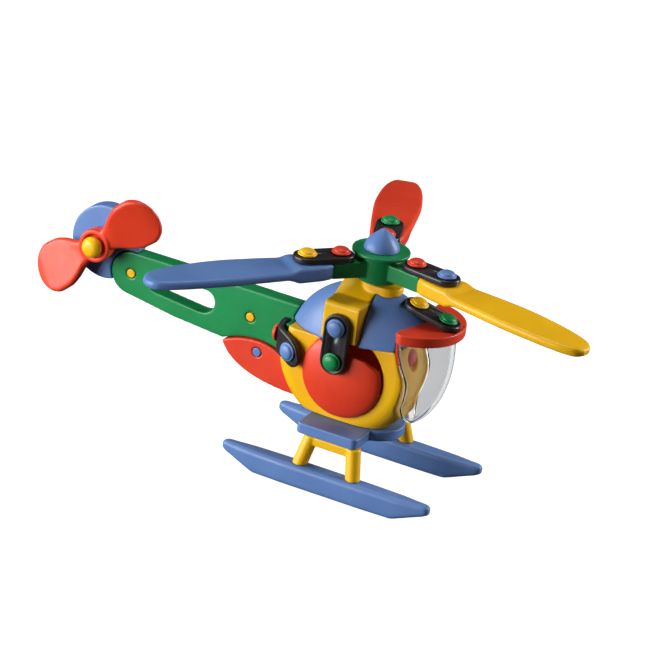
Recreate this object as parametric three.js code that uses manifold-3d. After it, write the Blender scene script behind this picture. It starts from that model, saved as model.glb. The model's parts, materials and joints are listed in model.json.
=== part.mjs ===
// Toy helicopter, built from moulded plastic pieces that rubber straps and push-in buttons hold together.
// Millimetres. +X is the nose, +Y the left side, +Z up. The origin is the bottom centre of the whole object.
// Inside the assembly group X and Y are zero on the main rotor's axis, and the skids reach down to -1.2.
import * as THREE from "three";
import { mergeVertices } from "three/addons/utils/BufferGeometryUtils.js";
import Module from "manifold-3d";

const wasm = await Module();
wasm.setup();

// ---------------------------------------------------------------- driving dimensions

// Moves the bottom centre of the whole object to the origin.
const CENTRE = new THREE.Vector3(28.07, -8.46, 1.2);

const FIT = 0.3; // clearance between a button's shank and its hole, and between shaped neighbours
const SEAT = 0.1; // clearance between flat faces that rest on each other

const BUTTON = { headRadius: 4.3, headHeight: 2.7, lipHeight: 0.8, shankRadius: 2.1 };
const STRAP = { pitch: 16.2, radius: 6.2, thickness: 2.8, edge: 0.6 };
const ROUND = 10; // sides of a button, its hole and a strap's round end

const SKID = {
  halfLength: 50.5, y: 27.1, halfWidth: 4.7, tipHalfWidth: 2.4,
  flat: 34.9, bottom: -1.2, top: 9.6,
};
const LEG = { radius: 3.4, topX: 10.3, footX: 13.2, topY: 24, barBottom: 19.6, barTop: 23.6 };
const PLATE = {
  rear: -17.5, front: 12.5, halfWidth: 27.5, bottom: 23.8,
  top: 28.8, noseX: 8, noseRadius: 14,
};

const BODY = { x: -5, z: 56, radius: 34.5, flatHalfWidth: 5.5, halfWidth: 14.5, shoulder: 26 };
const BODY_CUT = { bottom: 29, rear: -33.3, recessBottom: 50, recessHalfWidth: 13.6 };
const WINDOW = { x: -4, z: 51, radius: 18.9, gapX: 0.7, gapZ: 0.5, gapRadius: 19.3 };
const SHELL = { radius: 19.3, bulge: 5.6 };

const ROOF = {
  z: 56, halfLength: 38, halfWidth: 19.1, height: 35.7,
  base: 66, bendX: -12, rise: 0.105, front: 19.2,
};
const BRACKET = { rear: -14.4, front: 2.7, halfWidth: 20.5, foot: 69.2, shelf: 86.5, ridge: 92.5, seat: 1.5 };
const NOSE = { rear: -6, front: 12.7, halfWidth: 6.7, top: 93.5, collarRadius: 4.6, collarTop: 94.9 };
const VISOR = { x: 20, radius: 23.4, top: 82, bottom: 77.2, tipRadius: 3, inner: 26.3, skirtFoot: 63.4 };
const CANOPY = {
  x: 19, z: 66, halfLength: 22, halfWidth: 15, drop: 35.6,
  rise: 40, wall: 1.8, top: 77.1, rim: 1.6,
};

const BOOM = { halfWidth: 4, top: 72.2, tailX: -119.9, tailZ: 62.1, tailRadius: 10.3, front: -33.6 };
const FLANGE = { x: -36.2, bottom: 50.6, top: 65.4, halfWidth: 11.4 };
const FAIRING = { halfWidth: 5.5, pinX: -51.4, pinZ: 44.5 };
const FIN = { x: -134.8, z: 73.2, radius: 17.5, right: -4, left: 3.6 };
const TAIL_ROTOR = {
  x: -134.7, z: 74.4, hubRadius: 7.8, near: -14.8,
  far: -8.2, tipRadius: 36.2, pitch: -17, angle: 39.7,
};

const HUB = { radius: 10, bottom: 95, armBottom: 97.4, armTop: 104.9, armHalfWidth: 5.4, armEnd: 24.7 };
const FLANGE_DISC = { radius: 13, bottom: 106.9, top: 108.5 };
const BLADE = {
  inner: 19.4, outer: 35.6, radius: 110.5, bottom: 99.2,
  top: 103.4, rootEnd: 43.4, droop: 2.5,
};
const CAP = { radius: 8, height: 9.8, pinEnd: 85 };

// ---------------------------------------------------------------- colours

const finish = (colour, roughness, extra = {}) =>
  new THREE.MeshStandardMaterial({ color: colour, roughness, metalness: 0, ...extra });

const RED = finish(0xd8301e, 0.45);
const BLUE = finish(0x5b7fb8, 0.45);
const YELLOW = finish(0xf5bd00, 0.42);
const GREEN = finish(0x14824a, 0.45);
const RUBBER = finish(0x2e2e30, 0.5);
const CLEAR = finish(0xeef2f4, 0.06, { transparent: true, opacity: 0.3 });

// ---------------------------------------------------------------- solids

function toSolid(geometry) {
  const bare = geometry.clone();
  bare.deleteAttribute("normal");
  bare.deleteAttribute("uv");
  const merged = mergeVertices(bare, 1e-4);
  return new wasm.Manifold(
    new wasm.Mesh({
      numProp: 3,
      vertProperties: merged.attributes.position.array,
      triVerts: new Uint32Array(merged.index.array),
    }),
  );
}

function toGeometry(solid) {
  const mesh = solid.getMesh();
  const geometry = new THREE.BufferGeometry();
  geometry.setAttribute("position", new THREE.BufferAttribute(mesh.vertProperties, 3));
  geometry.setIndex(new THREE.BufferAttribute(mesh.triVerts, 1));
  return geometry;
}

const join = (...geometries) => toGeometry(geometries.map(toSolid).reduce((a, b) => a.add(b)));
const cut = (geometry, ...tools) =>
  toGeometry(tools.map(toSolid).reduce((a, b) => a.subtract(b), toSolid(geometry)));
const common = (a, b) => toGeometry(toSolid(a).intersect(toSolid(b)));

// A box between two corners.
function box(x0, x1, y0, y1, z0, z1) {
  return new THREE.BoxGeometry(x1 - x0, y1 - y0, z1 - z0).translate(
    (x0 + x1) / 2,
    (y0 + y1) / 2,
    (z0 + z1) / 2,
  );
}

// A cylinder that starts at a point and runs along a direction.
function rod(from, direction, length, radius, segments = 20, endRadius = radius) {
  const turn = new THREE.Quaternion().setFromUnitVectors(new THREE.Vector3(0, 1, 0), direction);
  return new THREE.CylinderGeometry(endRadius, radius, length, segments)
    .translate(0, length / 2, 0)
    .applyQuaternion(turn)
    .translate(from.x, from.y, from.z);
}

// An outline drawn in X and Z, extruded from one Y to another.
function sidePlate(shape, y0, y1, curveSegments = 24) {
  return new THREE.ExtrudeGeometry(shape, { depth: y1 - y0, bevelEnabled: false, curveSegments })
    .rotateX(Math.PI / 2)
    .translate(0, y1, 0);
}

// An outline drawn in Y and Z, extruded from one X to another.
function crossPlate(shape, x0, x1, curveSegments = 24) {
  const axes = new THREE.Matrix4().makeBasis(
    new THREE.Vector3(0, 1, 0),
    new THREE.Vector3(0, 0, 1),
    new THREE.Vector3(1, 0, 0),
  );
  return new THREE.ExtrudeGeometry(shape, { depth: x1 - x0, bevelEnabled: false, curveSegments })
    .applyMatrix4(axes)
    .translate(x0, 0, 0);
}

// An outline drawn in X and Y, extruded from one Z to another.
function floorPlate(shape, z0, z1, curveSegments = 24) {
  const settings = { depth: z1 - z0, bevelEnabled: false, curveSegments };
  return new THREE.ExtrudeGeometry(shape, settings).translate(0, 0, z0);
}

// A closed skin over rings of equally many points, with a flat cap on each end.
function loft(rings) {
  const count = rings[0].length;
  const positions = rings.flat().flatMap((p) => [p.x, p.y, p.z]);
  const faces = [];
  for (let i = 0; i + 1 < rings.length; i++) {
    for (let j = 0; j < count; j++) {
      const a = i * count + j;
      const b = i * count + ((j + 1) % count);
      faces.push(a, b, b + count, a, b + count, a + count);
    }
  }
  const last = (rings.length - 1) * count;
  for (let j = 1; j + 1 < count; j++) {
    faces.push(0, j + 1, j, last, last + j, last + j + 1);
  }
  const geometry = new THREE.BufferGeometry();
  geometry.setAttribute("position", new THREE.Float32BufferAttribute(positions, 3));
  geometry.setIndex(faces);
  return geometry;
}

// The eight corners of a rectangle with cut-off corners, anticlockwise in u and v.
function bevelledSection(halfU, v0, v1, bevel) {
  const c = Math.min(bevel, halfU * 0.6, (v1 - v0) * 0.45);
  return [
    [halfU, v0 + c],
    [halfU, v1 - c],
    [halfU - c, v1],
    [c - halfU, v1],
    [-halfU, v1 - c],
    [-halfU, v0 + c],
    [c - halfU, v0],
    [halfU - c, v0],
  ];
}

// A smooth value from a short list of [position, value] stations.
function along(stations, at) {
  const last = stations.length - 1;
  if (at <= stations[0][0]) return stations[0][1];
  if (at >= stations[last][0]) return stations[last][1];
  const i = stations.findIndex(([p]) => p > at) - 1;
  const [[p0, v0], [p1, v1]] = [stations[i], stations[i + 1]];
  return THREE.MathUtils.lerp(v0, v1, (at - p0) / (p1 - p0));
}

const evenly = (from, to, count) =>
  Array.from({ length: count }, (_, i) => from + ((to - from) * i) / (count - 1));

const mirrored = (geometry) => {
  const copy = geometry.clone().scale(1, -1, 1);
  const index = copy.index.array;
  for (let i = 0; i < index.length; i += 3) [index[i + 1], index[i + 2]] = [index[i + 2], index[i + 1]];
  return copy;
};

// ---------------------------------------------------------------- buttons and straps

const vec = (x, y, z) => new THREE.Vector3(x, y, z);
const UP = vec(0, 0, 1);
const RIGHT = vec(0, -1, 0);
const LEFT = vec(0, 1, 0);
const REAR = vec(-1, 0, 0);

// A push-in button: a domed head with a lip, on a shank that runs inwards from the seat.
function buttonGeometry({ seat, out, grip }) {
  const { headRadius, headHeight, lipHeight, shankRadius } = BUTTON;
  const profile = [
    [0, -grip],
    [shankRadius, -grip],
    [shankRadius, SEAT],
    [headRadius, SEAT],
    [headRadius, lipHeight],
    [headRadius * 0.75, lipHeight + 1.2],
    [0, headHeight],
  ].map(([r, h]) => new THREE.Vector2(r, h));
  const turn = new THREE.Quaternion().setFromUnitVectors(new THREE.Vector3(0, 1, 0), out);
  return new THREE.LatheGeometry(profile, ROUND).applyQuaternion(turn).translate(seat.x, seat.y, seat.z);
}

// The hole that a button's shank needs in the pieces it passes through.
const buttonHole = ({ seat, out, grip }) =>
  rod(
    seat.clone().addScaledVector(out, -grip - FIT),
    out,
    grip + FIT + 2,
    BUTTON.shankRadius + FIT,
    ROUND,
  );

// A flat strap: two button holes one pitch apart in a bar with round ends.
// The frame's first axis runs along the strap and its third axis points out of the top face.
function strapGeometry(middle, alongAxis, out, pitch = STRAP.pitch) {
  const { radius, thickness, edge } = STRAP;
  const half = pitch / 2;
  const shape = new THREE.Shape();
  shape.absarc(half, 0, radius - edge, -Math.PI / 2, Math.PI / 2, false);
  shape.absarc(-half, 0, radius - edge, Math.PI / 2, (3 * Math.PI) / 2, false);
  const holes = [-half, half].map((x) =>
    rod(vec(x, 0, -1), UP, thickness + 2, BUTTON.shankRadius + FIT, ROUND),
  );
  const bar = new THREE.ExtrudeGeometry(shape, {
    depth: thickness - 2 * edge,
    bevelThickness: edge,
    bevelSize: edge,
    bevelSegments: 1,
    curveSegments: ROUND / 2,
  }).translate(0, 0, edge);
  const side = new THREE.Vector3().crossVectors(out, alongAxis);
  const frame = new THREE.Matrix4().makeBasis(alongAxis, side, out).setPosition(middle);
  return cut(bar, ...holes).applyMatrix4(frame);
}

const meshes = [];

function piece(name, geometry, material) {
  const mesh = new THREE.Mesh(geometry, material.clone());
  mesh.name = name;
  meshes.push(mesh);
}

// ---------------------------------------------------------------- where the buttons sit

const strapTop = STRAP.thickness + SEAT;
const sideStrapY = BRACKET.halfWidth + strapTop;
const SIDE_STRAP_X = -6;
const SIDE_BUTTON_Z = [76.2, 60];

const buttons = {};
const addButton = (name, material, seat, out, grip) => {
  buttons[name] = { material, seat, out, grip };
};

for (const [side, out] of [["right", RIGHT], ["left", LEFT]]) {
  const y = out.y * sideStrapY;
  addButton(`bracket_button_${side}`, BLUE, vec(SIDE_STRAP_X, y, SIDE_BUTTON_Z[0]), out, 6.5);
  addButton(`shell_button_${side}`, GREEN, vec(SIDE_STRAP_X, y, SIDE_BUTTON_Z[1]), out, 7);
}

// The visor strap slopes down from the roof to the visor.
const VISOR_STRAP = { rear: vec(20.8, 0, 85.75), slope: THREE.MathUtils.degToRad(-12.9), pitch: 15 };
const visorAlong = vec(Math.cos(VISOR_STRAP.slope), 0, Math.sin(VISOR_STRAP.slope));
const visorOut = vec(-visorAlong.z, 0, visorAlong.x);
const visorMiddle = VISOR_STRAP.rear
  .clone()
  .addScaledVector(visorAlong, VISOR_STRAP.pitch / 2)
  .addScaledVector(visorOut, SEAT);
const visorSeat = VISOR_STRAP.rear.clone().addScaledVector(visorOut, strapTop);
addButton("roof_button", YELLOW, visorSeat, visorOut, 8);
const visorFrontSeat = visorSeat.clone().addScaledVector(visorAlong, VISOR_STRAP.pitch);
addButton("visor_button", GREEN, visorFrontSeat, visorOut, 6.5);

// The boom straps bend round the corner from the boom's flange to the body's side.
const BOOM_STRAP = { flangeY: 10.6, flangeZ: 60, bodyX: -29.2, bodyY: 15.6, bodyZ: 55.8, turn: 18 };
for (const [side, sign] of [["right", -1], ["left", 1]]) {
  const angle = THREE.MathUtils.degToRad(BOOM_STRAP.turn);
  const out = vec(-Math.sin(angle), sign * Math.cos(angle), 0);
  const flangeSeat = vec(FLANGE.x - strapTop, sign * BOOM_STRAP.flangeY, BOOM_STRAP.flangeZ);
  const bodyFace = vec(BOOM_STRAP.bodyX, sign * BOOM_STRAP.bodyY, BOOM_STRAP.bodyZ);
  addButton(`flange_button_${side}`, RED, flangeSeat, REAR, 5);
  addButton(`body_button_${side}`, BLUE, bodyFace.addScaledVector(out, strapTop), out, 8);
}

// Two straps on the boom's left side hold the fairing and the fin.
const BOOM_PIN = vec(-57.4, 0, 59.4);
const boomStrapY = BOOM.halfWidth + strapTop;
addButton("boom_button_front", YELLOW, vec(BOOM_PIN.x, boomStrapY, BOOM_PIN.z), LEFT, boomStrapY + 4.2);
addButton("fairing_button", BLUE, vec(FAIRING.pinX, boomStrapY, FAIRING.pinZ), LEFT, boomStrapY + 5.7);
addButton("boom_button_rear", YELLOW, vec(BOOM.tailX, boomStrapY, BOOM.tailZ), LEFT, boomStrapY + 4.2);

// The canopy's button faces forwards out of a round flat in the body.
addButton("canopy_button", RED, vec(20.4, 0, 62.4), vec(1, 0, 0), 7);

const BLADES = [
  { name: "blue", material: BLUE, azimuth: 230.95, button: YELLOW },
  { name: "yellow", material: YELLOW, azimuth: 350.1, button: BLUE },
  { name: "red", material: RED, azimuth: 110, button: GREEN },
];
for (const blade of BLADES) {
  const angle = THREE.MathUtils.degToRad(blade.azimuth);
  blade.axis = vec(Math.cos(angle), Math.sin(angle), 0);
  const at = (r) => blade.axis.clone().multiplyScalar(r).setZ(HUB.armTop + strapTop);
  addButton(`hub_button_${blade.name}`, RED, at(BLADE.inner), UP, 8);
  addButton(`blade_button_${blade.name}`, blade.button, at(BLADE.outer), UP, 8);
}

const holesFor = (...names) => names.map((name) => buttonHole(buttons[name]));

// ---------------------------------------------------------------- landing gear

// A float-shaped skid: level on top, flat underneath amidships, with both ends swept up to narrow tips.
function skidGeometry(side) {
  const { halfLength, y, halfWidth, tipHalfWidth, flat, bottom: keel, top } = SKID;
  const width = [[0.4, halfWidth], [0.72, 4.1], [1, tipHalfWidth]];
  const tipRise = 5.8;
  const stations = [-1.02, -1, -0.85, -0.69, -0.4, 0, 0.4, 0.69, 0.85, 1, 1.02];
  return loft(
    stations.map((s) => {
      const x = s * halfLength;
      const sweep = Math.max(0, Math.abs(x) - flat) / (halfLength - flat);
      const bottom = keel + tipRise * Math.min(sweep, 1);
      const shrink = Math.abs(s) > 1 ? 0.6 : 1;
      const half = along(width, Math.abs(s)) * shrink;
      return bevelledSection(half, bottom + (1 - shrink) * 2, top - (1 - shrink) * 2, 2.2).map(
        ([u, v]) => vec(x, side * y + u, v),
      );
    }),
  );
}

// Two round legs under a bar that lies along the plate's underside, all in one piece.
function legFrameGeometry(side) {
  const { radius, topX, footX, topY, barBottom, barTop } = LEG;
  const foot = SKID.top + SEAT;
  const legs = [-1, 1].map((end) => {
    const top = vec(end * topX, side * topY, barTop);
    const bottom = vec(end * footX, side * SKID.y, foot);
    const direction = bottom.clone().sub(top).normalize();
    return rod(top, direction, top.distanceTo(bottom) + 3, radius, 16);
  });
  const bar = box(-topX, topX, side * topY - 3, side * topY + 3, barBottom, barTop);
  const window = box(-80, 80, -80, 80, foot, barTop);
  return common(join(bar, ...legs), window);
}

function plateShape() {
  const { rear, front, halfWidth, noseX, noseRadius } = PLATE;
  const shape = new THREE.Shape();
  const corner = 2.5;
  const half = halfWidth - corner;
  const noseHalf = Math.sqrt(noseRadius ** 2 - (front - noseX) ** 2);
  const noseAngle = Math.asin(noseHalf / noseRadius);
  shape.absarc(rear + corner, -half, corner, Math.PI, 1.5 * Math.PI, false);
  shape.absarc(front - corner, -half, corner, 1.5 * Math.PI, 2 * Math.PI, false);
  shape.absarc(noseX, 0, noseRadius, -noseAngle, noseAngle, false);
  shape.absarc(front - corner, half, corner, 0, Math.PI / 2, false);
  shape.absarc(rear + corner, half, corner, Math.PI / 2, Math.PI, false);
  return shape;
}

for (const [side, sign] of [["right", -1], ["left", 1]]) {
  piece(`skid_${side}`, skidGeometry(sign), BLUE);
  piece(`leg_frame_${side}`, legFrameGeometry(sign), YELLOW);
}
piece("base_plate", floorPlate(plateShape(), PLATE.bottom, PLATE.top, 10), BLUE);

// ---------------------------------------------------------------- cabin

// The body's front edge, seen from the side: it swings forwards at mid height and again at the chin.
function frontCurve(offset) {
  return new THREE.SplineCurve(
    [
      [19.3, 78],
      [19.5, 70],
      [21.6, 63],
      [24.4, 55],
      [23.6, 47],
      [22.2, 41.5],
      [23.2, 36],
      [26.5, 31],
      [29, 24],
    ].map(([x, z]) => new THREE.Vector2(x + offset, z)),
  ).getPoints(20);
}

// Everything behind the front edge, or everything in front of it.
function besideFront(offset, sideX) {
  const line = frontCurve(offset);
  const shape = new THREE.Shape([
    ...line,
    new THREE.Vector2(sideX, line[line.length - 1].y),
    new THREE.Vector2(sideX, line[0].y),
  ]);
  return sidePlate(shape, -40, 40);
}

// A barrel lying across the cabin, with a flat band round its middle and full round shoulders.
function barrelGeometry(extra) {
  const { radius, flatHalfWidth, halfWidth, shoulder, x, z } = BODY;
  const quarter = evenly(0, Math.PI / 2, 5).map((t) => [
    shoulder + extra + (radius - shoulder) * Math.sin(t),
    halfWidth - (halfWidth - flatHalfWidth) * (1 - Math.cos(t)),
  ]);
  const half = [[0, halfWidth], ...quarter];
  const profile = [...half.map(([r, y]) => [r, -y]), ...half.reverse()];
  return new THREE.LatheGeometry(
    profile.map(([r, y]) => new THREE.Vector2(r, y)),
    48,
  ).translate(x, 0, z);
}

// Everything below the roof's underside, which is level at the rear and rises towards the nose.
function underRoof(gap) {
  const { base, bendX, rise } = ROOF;
  const outline = new THREE.Shape();
  outline.moveTo(-60, base - gap);
  outline.lineTo(bendX, base - gap);
  outline.lineTo(60, base - gap + rise * (60 - bendX));
  outline.lineTo(60, 0);
  outline.lineTo(-60, 0);
  return sidePlate(outline, -40, 40);
}

function cabinBodyGeometry() {
  const { bottom, rear, recessBottom, recessHalfWidth } = BODY_CUT;
  const { x, z, radius, gapX, gapZ, gapRadius } = WINDOW;
  const floor = box(-60, 60, -40, 40, 0, bottom);
  const tunnel = rod(vec(x, -30, z), LEFT, 60, radius, 40);
  const gap = rod(vec(x + gapX, -30, z + gapZ), LEFT, 60, gapRadius, 40);
  const recess = box(-60, rear, -recessHalfWidth, recessHalfWidth, recessBottom, 80);
  const { seat, out } = buttons.canopy_button;
  const flat = rod(seat, out, 10, BUTTON.headRadius + 0.8, 16);
  const body = common(common(barrelGeometry(0), underRoof(FIT)), besideFront(0, -80));
  const holes = holesFor("body_button_right", "body_button_left", "canopy_button");
  return cut(body, floor, tunnel, gap, recess, flat, ...holes);
}

// A shallow dome that covers the round window in the body's side, with a straight top edge that
// slopes forwards and leaves a sliver of the window open.
function sideShellGeometry() {
  const base = BODY.halfWidth + SEAT;
  const wall = 2.2;
  const outer = evenly(Math.PI / 2, 0, 7).map((t) => [
    SHELL.radius * Math.sin(t),
    1.2 + (SHELL.bulge - 1.2) * Math.cos(t),
  ]);
  const inner = evenly(0, Math.PI / 2, 4).map((t) => [
    (SHELL.radius - wall) * Math.sin(t),
    (SHELL.bulge - wall) * Math.cos(t),
  ]);
  const profile = [...inner, [SHELL.radius, 0], ...outer];
  const dome = new THREE.LatheGeometry(
    profile.map(([r, h]) => new THREE.Vector2(r, h)),
    32,
  ).translate(WINDOW.x, base, WINDOW.z);
  const post = rod(vec(SIDE_STRAP_X, base + 0.4, SIDE_BUTTON_Z[1]), LEFT, SHELL.bulge - 1.4, 4.6, 12);
  const trim = new THREE.Shape();
  trim.moveTo(-40, 69.4);
  trim.lineTo(7.4, 62);
  trim.lineTo(15.4, 57);
  trim.lineTo(40, 40);
  trim.lineTo(40, 90);
  trim.lineTo(-40, 90);
  return cut(join(dome, post), sidePlate(trim, 0, 40), ...holesFor("shell_button_left"));
}

// The ellipsoid that the roof is the upper cap of, grown or shrunk by a margin.
function roofBall(extra, segments = 32) {
  const { z, halfLength, halfWidth, height } = ROOF;
  return new THREE.SphereGeometry(1, segments, segments / 2)
    .rotateX(Math.PI / 2)
    .scale(halfLength + extra, halfWidth + extra, height + extra)
    .translate(0, 0, z);
}

// The room that the roof takes up, with a margin all round.
const roofRoom = (extra) => cut(roofBall(extra), underRoof(extra));

// The roof: cut square at the front below the visor, with a shallow band where the bracket sits
// and a flat where the visor's strap lies.
function roofGeometry() {
  const { rear, front, seat } = BRACKET;
  const ahead = box(ROOF.front, 60, -30, 30, 0, VISOR.bottom);
  const band = cut(box(rear - FIT, front + FIT, -30, 30, 60, 120), roofBall(-seat - FIT));
  const pinBore = rod(vec(0, 0, CAP.pinEnd - 1), UP, 20, BUTTON.shankRadius + FIT, ROUND);
  return cut(roofRoom(0), ahead, band, pinBore, visorStrapRoom(), ...holesFor("roof_button"));
}

// An inverted U that straddles the roof: upright sides, a shelf on each shoulder and a ridge between.
function bracketShape() {
  const { halfWidth, foot, shelf, ridge } = BRACKET;
  const corner = 2;
  const shape = new THREE.Shape();
  shape.moveTo(-halfWidth, foot);
  shape.lineTo(halfWidth, foot);
  shape.absarc(halfWidth - corner, shelf - corner, corner, 0, Math.PI / 2, false);
  shape.lineTo(10.5, shelf + 0.6);
  shape.quadraticCurveTo(5, ridge - 1.2, 0, ridge);
  shape.quadraticCurveTo(-5, ridge - 1.2, -10.5, shelf + 0.6);
  shape.absarc(corner - halfWidth, shelf - corner, corner, Math.PI / 2, Math.PI, false);
  return shape;
}

// The bracket's bearing for the rotor: a nose that runs forwards over the roof, under a round collar.
function noseGeometry() {
  const { rear, front, halfWidth, top, collarRadius, collarTop } = NOSE;
  const outline = new THREE.Shape();
  outline.absarc(front - halfWidth, 0, halfWidth, -Math.PI / 2, Math.PI / 2, false);
  outline.absarc(rear + halfWidth, 0, halfWidth, Math.PI / 2, 1.5 * Math.PI, false);
  const collar = rod(vec(0, 0, top - 1), UP, collarTop - top + 1, collarRadius, 20);
  return cut(join(floorPlate(outline, 84, top, 8), collar), roofBall(FIT));
}

function bracketGeometry() {
  const { rear, front, seat } = BRACKET;
  const yoke = cut(crossPlate(bracketShape(), rear, front, 4), roofBall(-seat));
  const bore = rod(vec(0, 0, 80), UP, 30, BUTTON.shankRadius + FIT, ROUND);
  return cut(join(yoke, noseGeometry()), bore, ...holesFor("bracket_button_right", "bracket_button_left"));
}

// The visor's outline: a round peak with rounded ends and a hollowed back.
function peakShape() {
  const { x, radius, tipRadius, inner } = VISOR;
  const end = THREE.MathUtils.degToRad(77);
  const turn = THREE.MathUtils.degToRad(130);
  const tipX = x + (radius - tipRadius) * Math.cos(end);
  const tipY = (radius - tipRadius) * Math.sin(end);
  const backX = tipX + tipRadius * Math.cos(end + turn);
  const backY = tipY + tipRadius * Math.sin(end + turn);
  const shape = new THREE.Shape();
  shape.absarc(x, 0, radius, -end, end, false);
  shape.absarc(tipX, tipY, tipRadius, end, end + turn, false);
  shape.bezierCurveTo(backX + 0.4, 13, inner, 8, inner, 0);
  shape.bezierCurveTo(inner, -8, backX + 0.4, -13, backX, -backY);
  shape.absarc(tipX, -tipY, tipRadius, -end - turn, -end, false);
  return shape;
}

// A level peak round the roof's front, with a crossbar and two short legs behind the canopy's rim.
function visorGeometry() {
  const { top, bottom, skirtFoot } = VISOR;
  const rear = ROOF.front + SEAT;
  const legs = [-1, 1].map((side) =>
    box(rear - 6, 40, side * 12.8 - 1.6, side * 12.8 + 1.6, skirtFoot, bottom + 1),
  );
  const beforeRim = besideFront(CANOPY.rim - FIT, -80);
  const crossbar = box(rear, rear + 4.6, -16.5, 16.5, bottom, bottom + 2.4);
  const solid = join(floorPlate(peakShape(), bottom, top, 14), crossbar, common(join(...legs), beforeRim));
  const above = common(roofBall(FIT), box(-60, 60, -30, 30, bottom - 0.2, 120));
  const roofFace = box(-60, rear, -30, 30, 0, 120);
  const bodyFace = common(besideFront(SEAT + 0.05, -80), underRoof(0));
  return cut(solid, above, roofFace, bodyFace, visorStrapRoom(), ...holesFor("visor_button"));
}

// The room for the visor's strap: a slab along the strap that reaches upwards.
function visorStrapRoom() {
  const reach = VISOR_STRAP.pitch / 2 + STRAP.radius + FIT;
  const width = STRAP.radius + FIT;
  const slab = box(-reach, reach, -width, width, -SEAT, 20);
  const frame = new THREE.Matrix4().makeBasis(visorAlong, LEFT, visorOut).setPosition(visorMiddle);
  return slab.applyMatrix4(frame);
}

// An egg: different heights above and below its widest level.
function egg(shrink) {
  const { x, z, halfLength, halfWidth, drop, rise } = CANOPY;
  const ball = new THREE.SphereGeometry(1, 32, 20).rotateX(Math.PI / 2);
  const position = ball.attributes.position;
  for (let i = 0; i < position.count; i++) {
    const up = position.getZ(i) > 0 ? rise : drop;
    position.setXYZ(
      i,
      x + position.getX(i) * (halfLength - shrink),
      position.getY(i) * (halfWidth - shrink),
      z + position.getZ(i) * (up - shrink),
    );
  }
  return ball;
}

// A clear bowl ahead of the body's front edge, with room behind its rim for the visor's legs.
function canopyGeometry() {
  const shell = cut(egg(0), egg(CANOPY.wall));
  return common(common(shell, besideFront(CANOPY.rim, 80)), box(0, 60, -30, 30, 20, CANOPY.top));
}

piece("cabin_body", cabinBodyGeometry(), YELLOW);
piece("side_shell_left", sideShellGeometry(), RED);
piece("side_shell_right", mirrored(sideShellGeometry()), RED);
piece("roof_dome", roofGeometry(), BLUE);
piece("rotor_bracket", bracketGeometry(), YELLOW);
piece("visor", visorGeometry(), RED);
piece("canopy", canopyGeometry(), CLEAR);

// ---------------------------------------------------------------- tail

function boomShape() {
  const { top, tailX, tailZ, tailRadius, front } = BOOM;
  const shape = new THREE.Shape();
  shape.moveTo(front, top);
  shape.lineTo(tailX, top);
  shape.absarc(tailX, tailZ, tailRadius, Math.PI / 2, 1.42 * Math.PI, false);
  shape.lineTo(-96, 47.9);
  shape.lineTo(-70.2, 45.6);
  shape.bezierCurveTo(-63, 48.8, -58, 50.1, -51.6, 50.1);
  shape.bezierCurveTo(-46.5, 50.1, -42, 48.6, -39, 46.6);
  shape.lineTo(front, 46.6);
  return shape;
}

// A long slot with round ends that narrows towards the tail.
function boomSlot() {
  const slot = new THREE.Shape();
  slot.moveTo(-106, 65.4);
  slot.bezierCurveTo(-112, 65.4, -112, 57.4, -106, 56.7);
  slot.lineTo(-83.4, 54.3);
  slot.bezierCurveTo(-74, 53.8, -74, 65.4, -81.5, 65.4);
  slot.lineTo(-106, 65.4);
  return sidePlate(slot, -20, 20, 10);
}

function boomGeometry() {
  const { halfWidth, front } = BOOM;
  const { x, bottom, top, halfWidth: flangeHalf } = FLANGE;
  const plate = sidePlate(boomShape(), -halfWidth, halfWidth, 12);
  const flange = box(x, front, -flangeHalf, flangeHalf, bottom, top);
  const pins = holesFor("boom_button_front", "boom_button_rear", "flange_button_right", "flange_button_left");
  const belowRecess = common(barrelGeometry(FIT), box(-60, 60, -30, 30, 0, BODY_CUT.recessBottom + FIT));
  return cut(join(plate, flange), boomSlot(), belowRecess, roofRoom(FIT), ...pins);
}

function fairingGeometry() {
  const shape = new THREE.Shape();
  shape.moveTo(-69.6, 45.2);
  shape.bezierCurveTo(-63, 48.3, -58, 49.7, -51.6, 49.7);
  shape.bezierCurveTo(-46.5, 49.7, -42, 48.2, -38.4, 45.9);
  shape.lineTo(-20, 45.9);
  shape.lineTo(-20, 29.6);
  shape.lineTo(-34, 30);
  shape.bezierCurveTo(-50, 31, -64, 34.5, -69.6, 45.2);
  const { halfWidth } = FAIRING;
  const plate = sidePlate(shape, -halfWidth, BOOM.halfWidth, 12);
  return cut(plate, barrelGeometry(FIT), ...holesFor("fairing_button"));
}

// The fin is a thick disc, with a bite for the boom's end.
function finGeometry() {
  const { x, z, radius, right, left } = FIN;
  const { tailX, tailZ, tailRadius, top } = BOOM;
  const disc = rod(vec(x, right, z), LEFT, left - right, radius, 40);
  const bite = rod(vec(tailX, -20, tailZ), LEFT, 40, tailRadius + 0.5, 40);
  const overBoom = box(tailX - 1, 0, -20, 20, 0, top + 0.5);
  const bore = rod(vec(TAIL_ROTOR.x, -30, TAIL_ROTOR.z), LEFT, 60, BUTTON.shankRadius + FIT, ROUND);
  return cut(disc, bite, overBoom, bore);
}

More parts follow.
